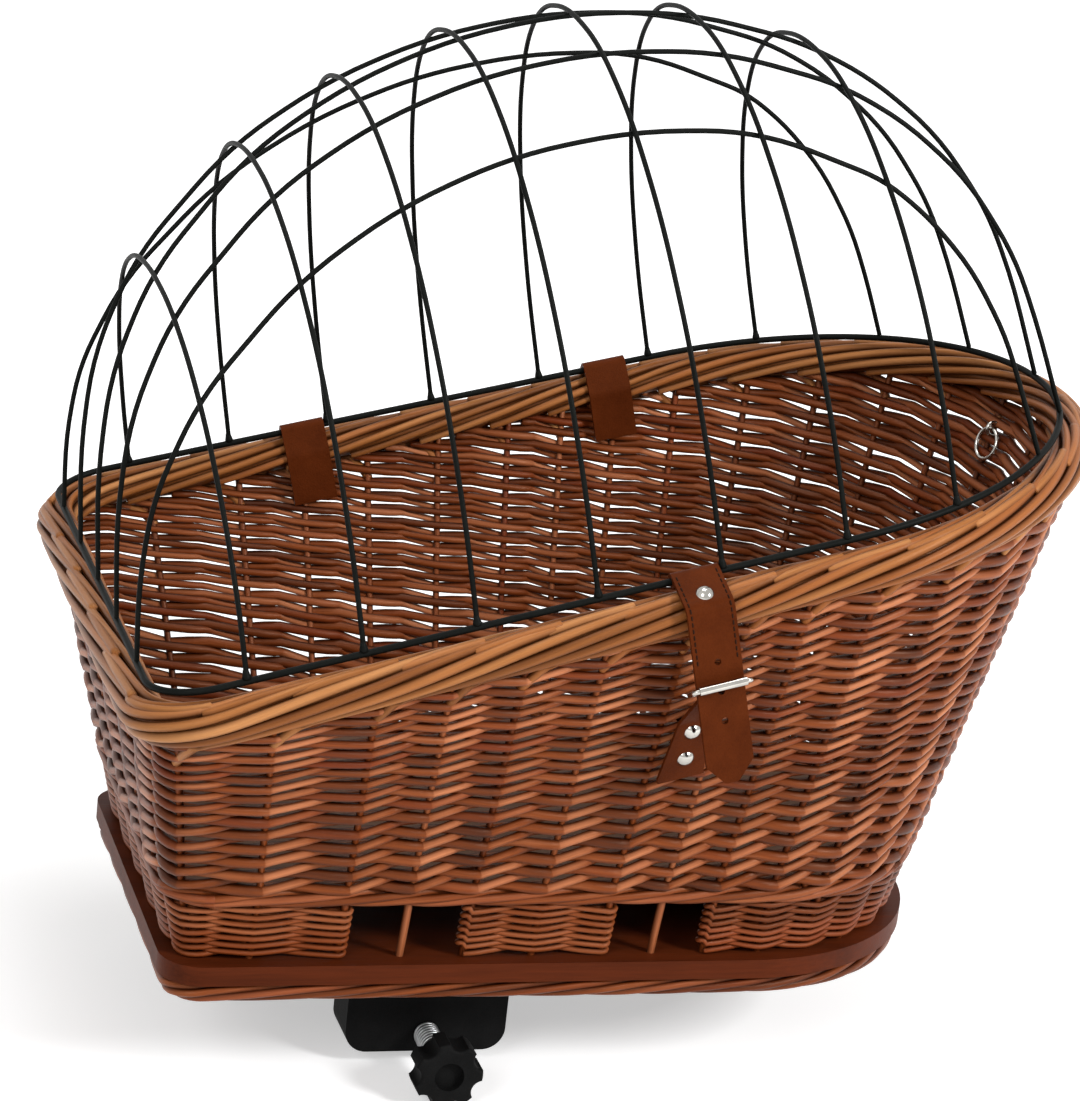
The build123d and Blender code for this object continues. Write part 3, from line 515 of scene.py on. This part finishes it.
def hide(name, dark, light):
    """Smooth finished leather with a fine pebble and darker, worn patches."""
    mat, tree, shader = new_material(name)
    n = Nodes(tree)
    coords = n.object_coords()
    cells = n.put("ShaderNodeTexVoronoi")
    cells.inputs["Scale"].default_value = 900.0
    n.link(coords, cells.inputs["Vector"])
    patch = n.noise(coords, 45.0, 3.0, 0.6)
    grain = n.noise(coords, 700.0, 3.0, 0.6)
    level = n.math("ADD", n.math("MULTIPLY", patch, 0.7), n.math("MULTIPLY", grain, 0.3))
    n.link(n.ramp(level, [(0.3, dark), (0.72, light)]), shader.inputs["Base Color"])
    n.link(n.map_range(grain, 0.42, 0.62), shader.inputs["Roughness"])
    height = n.math("ADD", cells.outputs["Distance"], n.math("MULTIPLY", grain, 0.6))
    n.link(n.bump(height, 0.35, 0.0003), shader.inputs["Normal"])
    shader.inputs["Specular IOR Level"].default_value = 0.07
    shader.inputs["Specular Tint"].default_value = (1.0, 0.62, 0.42, 1)
    return mat


def metal(name, colour, rough, spread=0.1, scale=160.0):
    """Plated metal whose shine varies a little, with faint tarnish."""
    mat, tree, shader = new_material(name)
    n = Nodes(tree)
    coords = n.object_coords()
    blotch = n.noise(coords, scale, 4.0, 0.6)
    dim = tuple(c * 0.72 for c in colour)
    n.link(n.ramp(blotch, [(0.3, dim), (0.6, colour)]), shader.inputs["Base Color"])
    n.link(n.map_range(blotch, rough + spread, rough), shader.inputs["Roughness"])
    n.link(n.bump(blotch, 0.03, 0.0002), shader.inputs["Normal"])
    shader.inputs["Metallic"].default_value = 1.0
    return mat


def coated(name, dark, light, rough, scale=500.0, bump=0.2, coat=0.0):
    """Paint or moulded plastic with a fine surface."""
    mat, tree, shader = new_material(name)
    n = Nodes(tree)
    coords = n.object_coords()
    fine = n.noise(coords, scale, 3.0, 0.6)
    broad = n.noise(coords, scale * 0.06, 3.0, 0.6)
    level = n.math("ADD", n.math("MULTIPLY", fine, 0.4), n.math("MULTIPLY", broad, 0.6))
    n.link(n.ramp(level, [(0.3, dark), (0.75, light)]), shader.inputs["Base Color"])
    n.link(n.map_range(fine, rough - 0.08, rough + 0.1), shader.inputs["Roughness"])
    n.link(n.bump(fine, bump, 0.0003), shader.inputs["Normal"])
    shader.inputs["Specular IOR Level"].default_value = 0.06
    shader.inputs["Coat Weight"].default_value = coat
    shader.inputs["Coat Roughness"].default_value = 0.15
    return mat


wall_willow = willow(
    "wall_willow",
    dark=(0.055, 0.011, 0.003),
    middle=(0.19, 0.043, 0.009),
    light=(0.50, 0.182, 0.08),
    red=(0.185, 0.028, 0.007),
)
rim_willow = willow(
    "rim_willow",
    dark=(0.12, 0.036, 0.009),
    middle=(0.30, 0.108, 0.028),
    light=(0.52, 0.24, 0.090),
    red=(0.27, 0.075, 0.018),
)
board_wood = grained("board_wood", (0.036, 0.0065, 0.0015), (0.108, 0.02, 0.005), 0.45)
floor_wood = grained(
    "floor_wood", (0.085, 0.049, 0.033), (0.165, 0.102, 0.072), 0.62, bump=0.12
)
leather_hide = hide("leather_hide", (0.055, 0.0095, 0.0015), (0.098, 0.019, 0.0035))
wire_paint = coated("wire_paint", (0.002, 0.0024, 0.002), (0.006, 0.007, 0.006), 0.5, bump=0.12)
rail_paint = coated("rail_paint", (0.004, 0.004, 0.004), (0.012, 0.012, 0.013), 0.55)
black_plastic = coated(
    "black_plastic", (0.003, 0.003, 0.003), (0.009, 0.009, 0.009), 0.62, scale=900.0, bump=0.4
)
nickel = metal("nickel", (0.50, 0.48, 0.44), 0.12, 0.05, 60.0)
zinc = metal("zinc", (0.36, 0.365, 0.37), 0.3)

MATERIALS = {
    "willow_wall": wall_willow,
    "willow_rim": rim_willow,
    "willow_foot": wall_willow,
    "board_wood": board_wood,
    "floor_wood": floor_wood,
    "wire_black": wire_paint,
    "leather_brown": leather_hide,
    "nickel": nickel,
    "zinc_steel": zinc,
    "rail_black": rail_paint,
    "clamp_plastic": black_plastic,
    "knob_plastic": black_plastic,
}
for entry in frame["record"]["subparts"]:
    mesh = nodes[entry["node"]].data
    mesh.materials.clear()
    mesh.materials.append(MATERIALS[entry["material_slot"]])

# Upper weave

PITCHES = [10.6, 10.6, 10.6, 10.4, 10.0, 9.4, 8.6, 8.0, 7.6, 7.4, 7.3, 7.2] + [7.2] * 24
row_sum = np.concatenate([[0.0], np.cumsum(PITCHES)])
FAN = 0.20
FAN_FULL = 206.0
STEP = 0.125


def row_height(row, g):
    """Height of a real-valued row; the rows open out towards the round end."""
    base = np.interp(row, np.arange(len(row_sum)), row_sum) + np.minimum(row, 0) * PITCHES[0]
    base = base + np.maximum(row - len(PITCHES), 0) * PITCHES[-1]
    x = look_up(mid_table, g)[:, 0]
    share = (x + 255.0) / 510.0
    return BAND_HIGH + 1.0 + base * (1 + FAN * share * np.maximum(base, 0) / FAN_FULL)


def row_pitch(row, g):
    return row_height(row + 0.5, g) - row_height(row - 0.5, g)


def wobble(g, z, seed):
    """A slow, repeatable waver, about -1 to 1."""
    return (
        np.sin(g * 0.037 + seed * 1.7 + z * 0.11) + np.sin(g * 0.083 - seed * 2.3 + z * 0.05)
    ) / 2


RELIEF = 3.1
# one rod over two stakes: level to the front of a stake, a kink, a climb, then behind
CLIMB_AT = [0.0, 0.04, 0.5, 0.6, 1.0, 1.4, 1.5, 1.9, 2.0]
CLIMB = [0.0, 0.06, 0.68, 0.75, 0.92, 1.12, 1.16, 1.02, 1.0]
DEPTH_AT = [0.0, 0.15, 0.48, 0.62, 0.8, 1.0, 1.2, 1.38, 1.55, 1.8, 2.0]
DEPTH = [1.0, 0.96, 0.36, -0.5, -0.92, -1.0, -0.92, -0.6, 0.1, 0.8, 1.0]
THICK_AT = [0.0, 0.08, 0.3, 0.5, 0.7, 1.4, 1.7, 1.92, 2.0]
THICK = [0.31, 0.265, 0.26, 0.28, 0.315, 0.315, 0.345, 0.335, 0.31]
# painted light along one rod over two stakes: painted highlight on the climb in front of a
# stake, painted shade on the level run that comes out from behind the next
PAINTED_LIGHT_AT = [0.0, 0.04, 0.3, 0.45, 0.53, 1.4, 1.95, 2.0]
PAINTED_LIGHT = [-0.02, 0.27, 0.30, 0.18, 0.02, -0.04, -0.11, -0.05]
# places along that rod where its path has a point
MARKS = [0.0, 0.03, 0.1, 0.2, 0.32, 0.45, 0.53, 0.62, 0.75, 1.0, 1.22, 1.38, 1.5, 1.62]
MARKS += [1.75, 1.88]
FIRST_ROW = -2

weave = Tubes()
for start in range(COUNT):
    turns = len(PITCHES) - FIRST_ROW
    cycle = np.tile(MARKS, turns)
    lap = np.repeat(np.arange(turns), len(MARKS))
    t = cycle + 2 * lap
    row = FIRST_ROW + lap + np.interp(cycle, CLIMB_AT, CLIMB) + 0.08 * rng.uniform(-1, 1)
    g = stake_girth(start + t)
    seed = rng.random() * 20
    z = row_height(row, g) + 0.45 * wobble(g, row * 7.0, seed)
    depth = RELIEF * np.interp(cycle, DEPTH_AT, DEPTH) + 0.3 * wobble(g * 1.7, z, seed + 3)
    radius = row_pitch(row, g) * np.interp(cycle, THICK_AT, THICK)
    radius = radius * (1 + 0.07 * wobble(g * 0.6, z, seed + 7) + 0.05 * math.sin(seed * 9))
    points, normal = wall(g, z, depth)
    # the rod's own tone varies slowly; the painted-light table adds painted highlight on each
    # climb and painted shade on the level runs
    tone = 0.47 + 0.06 * wobble(g * 0.3, z, seed + 5) + np.interp(cycle, PAINTED_LIGHT_AT, PAINTED_LIGHT)
    inside = (z < top_height(g) + 6.0) & (z > BAND_HIGH - 4.5)
    first = np.flatnonzero(inside & (cycle > 0.6) & (cycle < 1.4))[0]
    inside[:first] = False
    edges = np.flatnonzero(np.diff(inside.astype(int)))
    for run in np.split(np.arange(len(t)), edges + 1):
        if inside[run[0]] and len(run) > 3:
            weave.add(points[run], radius[run], normal[run], tone=tone[run])

upper = weave.build("woven_wall", wall_willow)
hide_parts("upper_weave")

# Stakes: the rods themselves, and the four bare ones among them

posts = Tubes()
bare = {float(g) for g in (girth_at(-106.0), girth_at(49.0))}
bare |= {TOTAL - g for g in bare}
bare = [min(range(COUNT), key=lambda i: abs(stakes[i] - g)) for g in bare]
for number, g in enumerate(stakes):
    low = BOARD_TOP - 11.5
    top = float(top_height(np.array([g]))[0]) + 8.0
    z = np.linspace(low, top, 40)
    sway = 0.25 * np.sin(z * 0.09 + number)
    points, normal = wall(np.full(len(z), g), z, sway)
    tone = 0.66 if number in bare else 0.4
    radius = np.interp(z, [low, BAND_HIGH, BAND_HIGH + 12, top], [2.5, 2.5, 2.1, 2.3])
    posts.add(points, radius, normal, tone=tone)
bare_posts = posts.build("willow_stakes", wall_willow)
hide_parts("bare_stakes")

# Waling band

wale = Tubes()
WALE_RELIEF = 3.4
WALE_RISE = 3.5
WALE_RADIUS = 2.75
# one rod over three stakes, by place along it: how far out it lies and how high
FRONT_AT = [0.0, 0.5, 1.0, 1.5, 2.0, 2.5, 3.0]
FRONT = [0.1, 0.9, 1.0, 1.0, 0.55, -1.0, 0.1]
RISE = [-1.0, -0.75, -0.3, 0.2, 0.75, 0.9, -1.0]
for strand in range(3):
    for start in range(0, COUNT, 12):
        t = np.arange(start - 0.4, start + 12.6, STEP)
        phase = np.mod(t + strand, 3)
        depth = WALE_RELIEF * smooth(np.interp(phase, FRONT_AT, FRONT), 2)
        g = stake_girth(t)
        rise = WALE_RISE * smooth(np.interp(phase, FRONT_AT, RISE), 2)
        z = (BAND_LOW + BAND_HIGH) / 2 + rise + 0.35 * wobble(g, 0, strand * 3)
        points, normal = wall(g, z, depth)
        wale.add(points, WALE_RADIUS, normal, tone=0.5 + 0.12 * rng.random())
for inner in (BAND_LOW + 3.0, BAND_HIGH - 3.4):
    g = np.arange(0, TOTAL, 6.0)
    points, normal = wall(g, np.full(len(g), inner), -3.4 + 0.6 * wobble(g, inner, 2))
    wale.add(points, 2.6, normal, tone=0.45)
band = wale.build("waling_rods", wall_willow)
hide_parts("waling_band")

# Lower lengths

LOW_ROWS = 14
LOW_RELIEF = 3.4
LOW_RADIUS = 1.75
LOW_DIP = 1.5
FIRST_ROD = 3.4
far = {i: COUNT - LEFT_STAKES - 1 - i for i in range(len(SIDE_STAKES) + 1)}


def low_length(name, node, first, final):
    """Rods woven back and forth over the stakes from first to final."""
    rods = Tubes()
    pitch = (BAND_LOW - BOARD_TOP - 1.0) / LOW_ROWS
    path_g, path_z, path_d = [], [], []
    count = final - first
    for row in range(LOW_ROWS):
        t = np.arange(0, count + STEP / 2, STEP)
        if row % 2:
            t = t[::-1]
        g = stake_girth(first + t)
        sway = np.cos(math.pi * (t + row))
        dip = 1 - 2 * np.abs(np.mod(t + row + 1, 2) - 1)
        z = BOARD_TOP + FIRST_ROD + row * pitch - LOW_DIP * dip
        z = z + 0.25 * wobble(g * 2.3, row * 9.0, row)
        depth = LOW_RELIEF * sway
        path_g.append(g)
        path_z.append(z)
        path_d.append(depth)
        if row < LOW_ROWS - 1:
            end = 1 if row % 2 == 0 else -1
            angle = np.linspace(0, math.pi, 8)[1:-1]
            side = depth[-1] / LOW_RELIEF
            path_g.append(g[-1] + end * 4.0 * np.sin(angle))
            path_z.append(z[-1] + pitch * (1 - np.cos(angle)) / 2)
            path_d.append(LOW_RELIEF * side * np.cos(angle))
    g, z, depth = (np.concatenate(v) for v in (path_g, path_z, path_d))
    z = z + 0.3 * wobble(g, z * 2, 4)
    points, normal = wall(g, z, depth)
    cut = len(g) // 2
    for a, b in ((0, cut + 4), (cut - 4, len(g))):
        rods.add(points[a:b], LOW_RADIUS + 0.1 * rng.random(), normal[a:b], tone=0.43)
    obj = rods.build(name, wall_willow)
    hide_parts(node)
    return obj


low_length("foot_weave_near", "lower_weave_near", 4, 6)
low_length("foot_weave_far", "lower_weave_far", far[6], far[4])
low_length("foot_weave_right", "lower_weave_right", 8, far[8])
low_length("foot_weave_left", "lower_weave_left", far[2], COUNT + 2)

# Rim border


def roll_points(table_of_points, g, angle, reach, plane_up):
    """Points on a roll round a closed line; angle 0 is outwards, a quarter turn up."""
    centre = look_up(table_of_points, g)
    run = look_up(table_of_points, g + 2.0) - look_up(table_of_points, g - 2.0)
    run /= np.linalg.norm(run, axis=1)[:, None]
    out = np.cross(run, plane_up)
    out /= np.linalg.norm(out, axis=1)[:, None]
    radial = out * np.cos(angle)[:, None] + plane_up * np.sin(angle)[:, None]
    return centre + radial * np.asarray(reach)[:, None], radial


RING_UP = np.array([-math.sin(TILT), 0, math.cos(TILT)])
CORE_RADIUS = 8.2
rim = Tubes(10)
TURN = math.radians(37.0)
for number in range(COUNT):
    t = np.arange(0.25, 8.3, 0.1)
    angle = math.radians(-84) + TURN * (t - 0.25)
    g = stake_girth(number + t)
    thick = np.interp(t, [0, 2, 8.3], [3.0, 3.0, 2.3]) * (1 + 0.12 * rng.uniform(-1, 1))
    sway = 0.5 * np.sin(t * 2.1 + number * 1.3)
    reach = ROLL_RADIUS - thick + sway * 0.7 + 0.4
    points, radial = roll_points(roll_table, g, angle + 0.05 * sway, reach, RING_UP)
    # the stake comes up out of the wall and bends into the roll
    lead_t = np.linspace(-0.02, 0.2, 5)
    lead_g = stake_girth(number + lead_t)
    drop = np.array([12.0, 8.0, 4.5, 2.0, 0.4])
    lead_z = top_height(lead_g) - drop
    lead, lead_normal = wall(lead_g, lead_z, np.linspace(1.0, 4.0, 5))
    points = np.vstack([lead, points])
    radial = np.vstack([lead_normal, radial])
    thick = np.concatenate([np.full(5, 2.9), thick])
    for axis in range(3):
        points[:, axis] = smooth(points[:, axis], 3)
    rim.add(points, smooth(thick, 2), radial, tone=0.42 + 0.26 * rng.random())
    # the cut end of an older strand, on top
    t = np.arange(0.0, 1.15, 0.08)
    start = math.radians(58) + rng.uniform(-0.12, 0.12)
    angle = start + TURN * 0.5 * t
    g = stake_girth(number + 0.3 + rng.uniform(-0.1, 0.1) + t)
    thick = 2.7 + 0.4 * rng.random()
    reach = ROLL_RADIUS - 3.4 + np.clip(t * 2.0, 0, 1.0) * 1.6
    points, radial = roll_points(roll_table, g, angle, reach, RING_UP)
    rim.add(points, thick, radial, tone=0.62, blunt=0.2)
# a dark core inside the roll; its low tone is painted shade
g = np.linspace(0, TOTAL, 400)
points, radial = roll_points(roll_table, g, np.zeros(len(g)), np.zeros(len(g)), RING_UP)
rim.add(points, CORE_RADIUS, radial, tone=0.2)
roll = rim.build("rim_strands", rim_willow)
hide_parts("rim_border")

# Foot border

foot = Tubes(10)
UP = np.array([0.0, 0.0, 1.0])
FOOT_TWIST = math.radians(64)
FOOT_ROLL = 6.0
FOOT_INSET = 8.0
FOOT_HEIGHT = 11.7
foot_roll = np.column_stack(
    [table(board_line.grown(-FOOT_INSET)), np.full(7 * SEG_STEPS + 1, FOOT_HEIGHT)]
)
for number in range(COUNT):
    t = np.arange(0, 4.6, 0.1)
    angle = math.radians(-150) + FOOT_TWIST * t
    g = stake_girth(number + t)
    thick = np.interp(t, [0, 2, 4.6], [2.5, 2.45, 2.0])
    sway = 0.3 * np.sin(t * 2.3 + number)
    points, radial = roll_points(foot_roll, g, angle, FOOT_ROLL - thick + sway, UP)
    foot.add(points, thick, radial, tone=0.4 + 0.15 * rng.random())
strand = foot.build("foot_strands", wall_willow)
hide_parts("foot_border")

# Weld beads where the cross hoops stand on the ring

RING_LENGTH = 594.0
HOOP_SHARES = (0.086, 0.197, 0.306, 0.424, 0.547, 0.673, 0.793)


def half_width(x):
    """Half the ring's width at a place along it."""
    vertex, _, _, _, _, tangent = ring_line.segments()
    if x < tangent[0]:
        return -float(np.interp(x, [vertex[0], tangent[0]], [vertex[1], tangent[1]]))
    return math.sqrt(RING_RADIUS**2 - (x - RING_CENTRE) ** 2)


beads = Tubes(8)
for share in HOOP_SHARES:
    x = share * RING_LENGTH + RING_LEFT
    for side in (-1, 1):
        spots = np.array([[x, side * half_width(x), 0.0]] * 5)
        rise = np.array([1.2, 2.2, 3.4, 5.0, 7.0])
        points = on_ring_plane(spots, -rise)
        beads.add(points, [2.3, 2.6, 2.4, 1.95, 1.55], np.array([1.0, 0, 0]), blunt=0.2)
beads.build("weld_beads", wire_paint, "dome")

# Stitches along both edges of the strap's upper half

STRAP_X = 277.2
STRAP_HALF = 14.0
STRAP_OUT = 23.55
BEND_DROP = 10.0
LEATHER = 2.5
EYE = 2.0 + 0.3 + LEATHER / 2


def strap_frame():
    """Where the strap's middle meets the wire, and the across, outward and up axes."""
    vertex, _, _, _, _, tangent = ring_line.segments()
    share = (STRAP_X - vertex[0]) / (tangent[0] - vertex[0])
    spot = vertex + (tangent - vertex) * share
    origin = on_ring_plane(spot[None, :], 0.0)[0]
    along = np.array([math.cos(TILT), 0, math.sin(TILT)])
    across = -math.cos(FLARE) * along - math.sin(FLARE) * np.array([0, 1.0, 0])
    up = np.array([-math.sin(TILT), 0, math.cos(TILT)])
    return origin, across, np.cross(up, across), up


def strap_line():
    """The outer face of the strap from the wire to its middle: out and up, in order."""
    reach = math.hypot(STRAP_OUT, BEND_DROP)
    fall = math.atan2(BEND_DROP, STRAP_OUT) + math.asin(EYE / reach)
    start = np.array([EYE * math.sin(fall), EYE * math.cos(fall)])
    corner = np.array([STRAP_OUT, -BEND_DROP])
    way = (corner - start) / np.linalg.norm(corner - start)
    cut = 3.2
    before, after = corner - way * cut, corner - np.array([0, cut])
    share = np.linspace(0, 1, 9)[:, None]
    bend = before * (1 - share) ** 2 + corner * 2 * share * (1 - share) + after * share**2
    path = np.vstack([start, bend, [STRAP_OUT, -44.0]])
    run = np.gradient(path, axis=0)
    run /= np.linalg.norm(run, axis=1)[:, None]
    return path + np.column_stack([-run[:, 1], run[:, 0]]) * (LEATHER / 2)


EDGE_INSET = 2.3
STITCH = 2.5
STITCH_STEP = 3.9
THREAD_RADIUS = 0.42
thread = Tubes(6)
origin, across, outwards, up_way = strap_frame()
line = strap_line()
length = np.concatenate([[0.0], np.cumsum(np.linalg.norm(np.diff(line, axis=0), axis=1))])
for edge in (-1, 1):
    for begin in np.arange(1.5, length[-1] - 3.0, STITCH_STEP):
        spots = np.linspace(begin, begin + STITCH, 5)
        out = np.interp(spots, length, line[:, 0])
        rise = np.interp(spots, length, line[:, 1])
        arch = 0.18 * np.sin(np.linspace(0, math.pi, 5)) - 0.05
        out = out + arch
        points = (
            origin
            + across * edge * (STRAP_HALF - EDGE_INSET)
            + out[:, None] * outwards
            + rise[:, None] * up_way
        )
        thread.add(points, THREAD_RADIUS, outwards, tone=0.5, blunt=0.1)
thread_brown = coated("thread_brown", (0.010, 0.004, 0.002), (0.03, 0.012, 0.006), 0.6)
thread.build("strap_stitches", thread_brown, "strap")

# Stage, light and camera


def floor_material():
    """Pale board that the camera and shiny metal see as white: a painted glow, weaker near the
    object so the shadow is kept.
    """
    mat, tree, shader = new_material("floor_white")
    n = Nodes(tree)
    shader.inputs["Base Color"].default_value = (0.85, 0.85, 0.85, 1)
    shader.inputs["Roughness"].default_value = 1.0
    shader.inputs["Specular IOR Level"].default_value = 0.0
    seen = n.put("ShaderNodeLightPath")
    share = n.math("MAXIMUM", seen.outputs["Is Camera Ray"], seen.outputs["Is Glossy Ray"])
    shader.inputs["Emission Color"].default_value = (1, 1, 1, 1)
    away = n.put("ShaderNodeVectorMath", operation="LENGTH")
    n.link(n.object_coords(), away.inputs[0])
    # painted glow: the floor's emission rises from 0.48 within 0.35 m of the middle to 1.0
    # beyond 1.8 m, seen only by camera and glossy rays
    spread = n.put("ShaderNodeMapRange")
    reach = {"From Min": 0.35, "From Max": 1.8, "To Min": 0.48, "To Max": 1.0}
    for key, value in reach.items():
        spread.inputs[key].default_value = value
    n.link(away.outputs["Value"], spread.inputs["Value"])
    glow = n.math("MULTIPLY", share, spread.outputs["Result"])
    n.link(glow, shader.inputs["Emission Strength"])
    return mat


FLOOR_GAP = 0.0005
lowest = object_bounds()[0][2] - FLOOR_GAP
mesh = bpy.data.meshes.new("floor")
FLOOR_HALF = 40.0
corners = [(-1, -1), (1, -1), (1, 1), (-1, 1)]
mesh.from_pydata(
    [(x * FLOOR_HALF, y * FLOOR_HALF, lowest) for x, y in corners], [], [(0, 1, 2, 3)]
)
mesh.materials.append(floor_material())
floor = bpy.data.objects.new("floor", mesh)
bpy.context.scene.collection.objects.link(floor)

world = bpy.data.worlds.new("studio")
bpy.context.scene.world = world
world.use_nodes = True
tree = world.node_tree
for node in list(tree.nodes):
    tree.nodes.remove(node)
n = Nodes(tree)
out = n.put("ShaderNodeOutputWorld")
light = n.put("ShaderNodeBackground")
light.inputs["Color"].default_value = (1.0, 0.995, 0.985, 1)
light.inputs["Strength"].default_value = 0.27
white = n.put("ShaderNodeBackground")
white.inputs["Color"].default_value = (1, 1, 1, 1)
white.inputs["Strength"].default_value = 1.0
path = n.put("ShaderNodeLightPath")
seen = n.math("MAXIMUM", path.outputs["Is Camera Ray"], path.outputs["Is Glossy Ray"])
mixer = n.put("ShaderNodeMixShader")
n.link(seen, mixer.inputs[0])
n.link(light.outputs[0], mixer.inputs[1])
n.link(white.outputs[0], mixer.inputs[2])
n.link(mixer.outputs[0], out.inputs[0])


def lamp(name, place, aim, size, power):
    data = bpy.data.lights.new(name, "AREA")
    data.size = size
    data.energy = power
    obj = bpy.data.objects.new(name, data)
    obj.location = place
    direction = Vector(aim) - Vector(place)
    obj.rotation_euler = direction.to_track_quat("-Z", "Y").to_euler()
    bpy.context.scene.collection.objects.link(obj)


lamp("key", (1.7, -2.1, 1.7), (0, 0, 0.15), 0.7, 76)
lamp("fill", (-1.9, -2.2, 1.8), (0, 0, 0.2), 1.2, 38)
lamp("top", (-0.2, 0.2, 2.7), (0, 0, 0.2), 1.2, 26)

CAMERA = np.array([-630.6, -1994.3, 892.7]) * MM
yaw, pitch, roll_angle = (math.radians(v) for v in (17.304, 17.336, 6.451))
forward = Vector(
    (
        math.sin(yaw) * math.cos(pitch),
        math.cos(yaw) * math.cos(pitch),
        -math.sin(pitch),
    )
)
right = Vector((math.cos(yaw), -math.sin(yaw), 0))
up = right.cross(forward)
turned_right = right * math.cos(roll_angle) + up * math.sin(roll_angle)
turned_up = up * math.cos(roll_angle) - right * math.sin(roll_angle)
camera_data = bpy.data.cameras.new("camera")
camera_data.sensor_fit = "HORIZONTAL"
camera_data.sensor_width = 36.0
camera_data.lens = 120.0
camera_data.clip_end = 100.0
camera = bpy.data.objects.new("camera", camera_data)
camera.matrix_world = Matrix(
    (
        (turned_right.x, turned_up.x, -forward.x, CAMERA[0]),
        (turned_right.y, turned_up.y, -forward.y, CAMERA[1]),
        (turned_right.z, turned_up.z, -forward.z, CAMERA[2]),
        (0, 0, 0, 1),
    )
)
bpy.context.scene.collection.objects.link(camera)
bpy.context.scene.camera = camera
bpy.context.scene.view_settings.view_transform = "Standard"
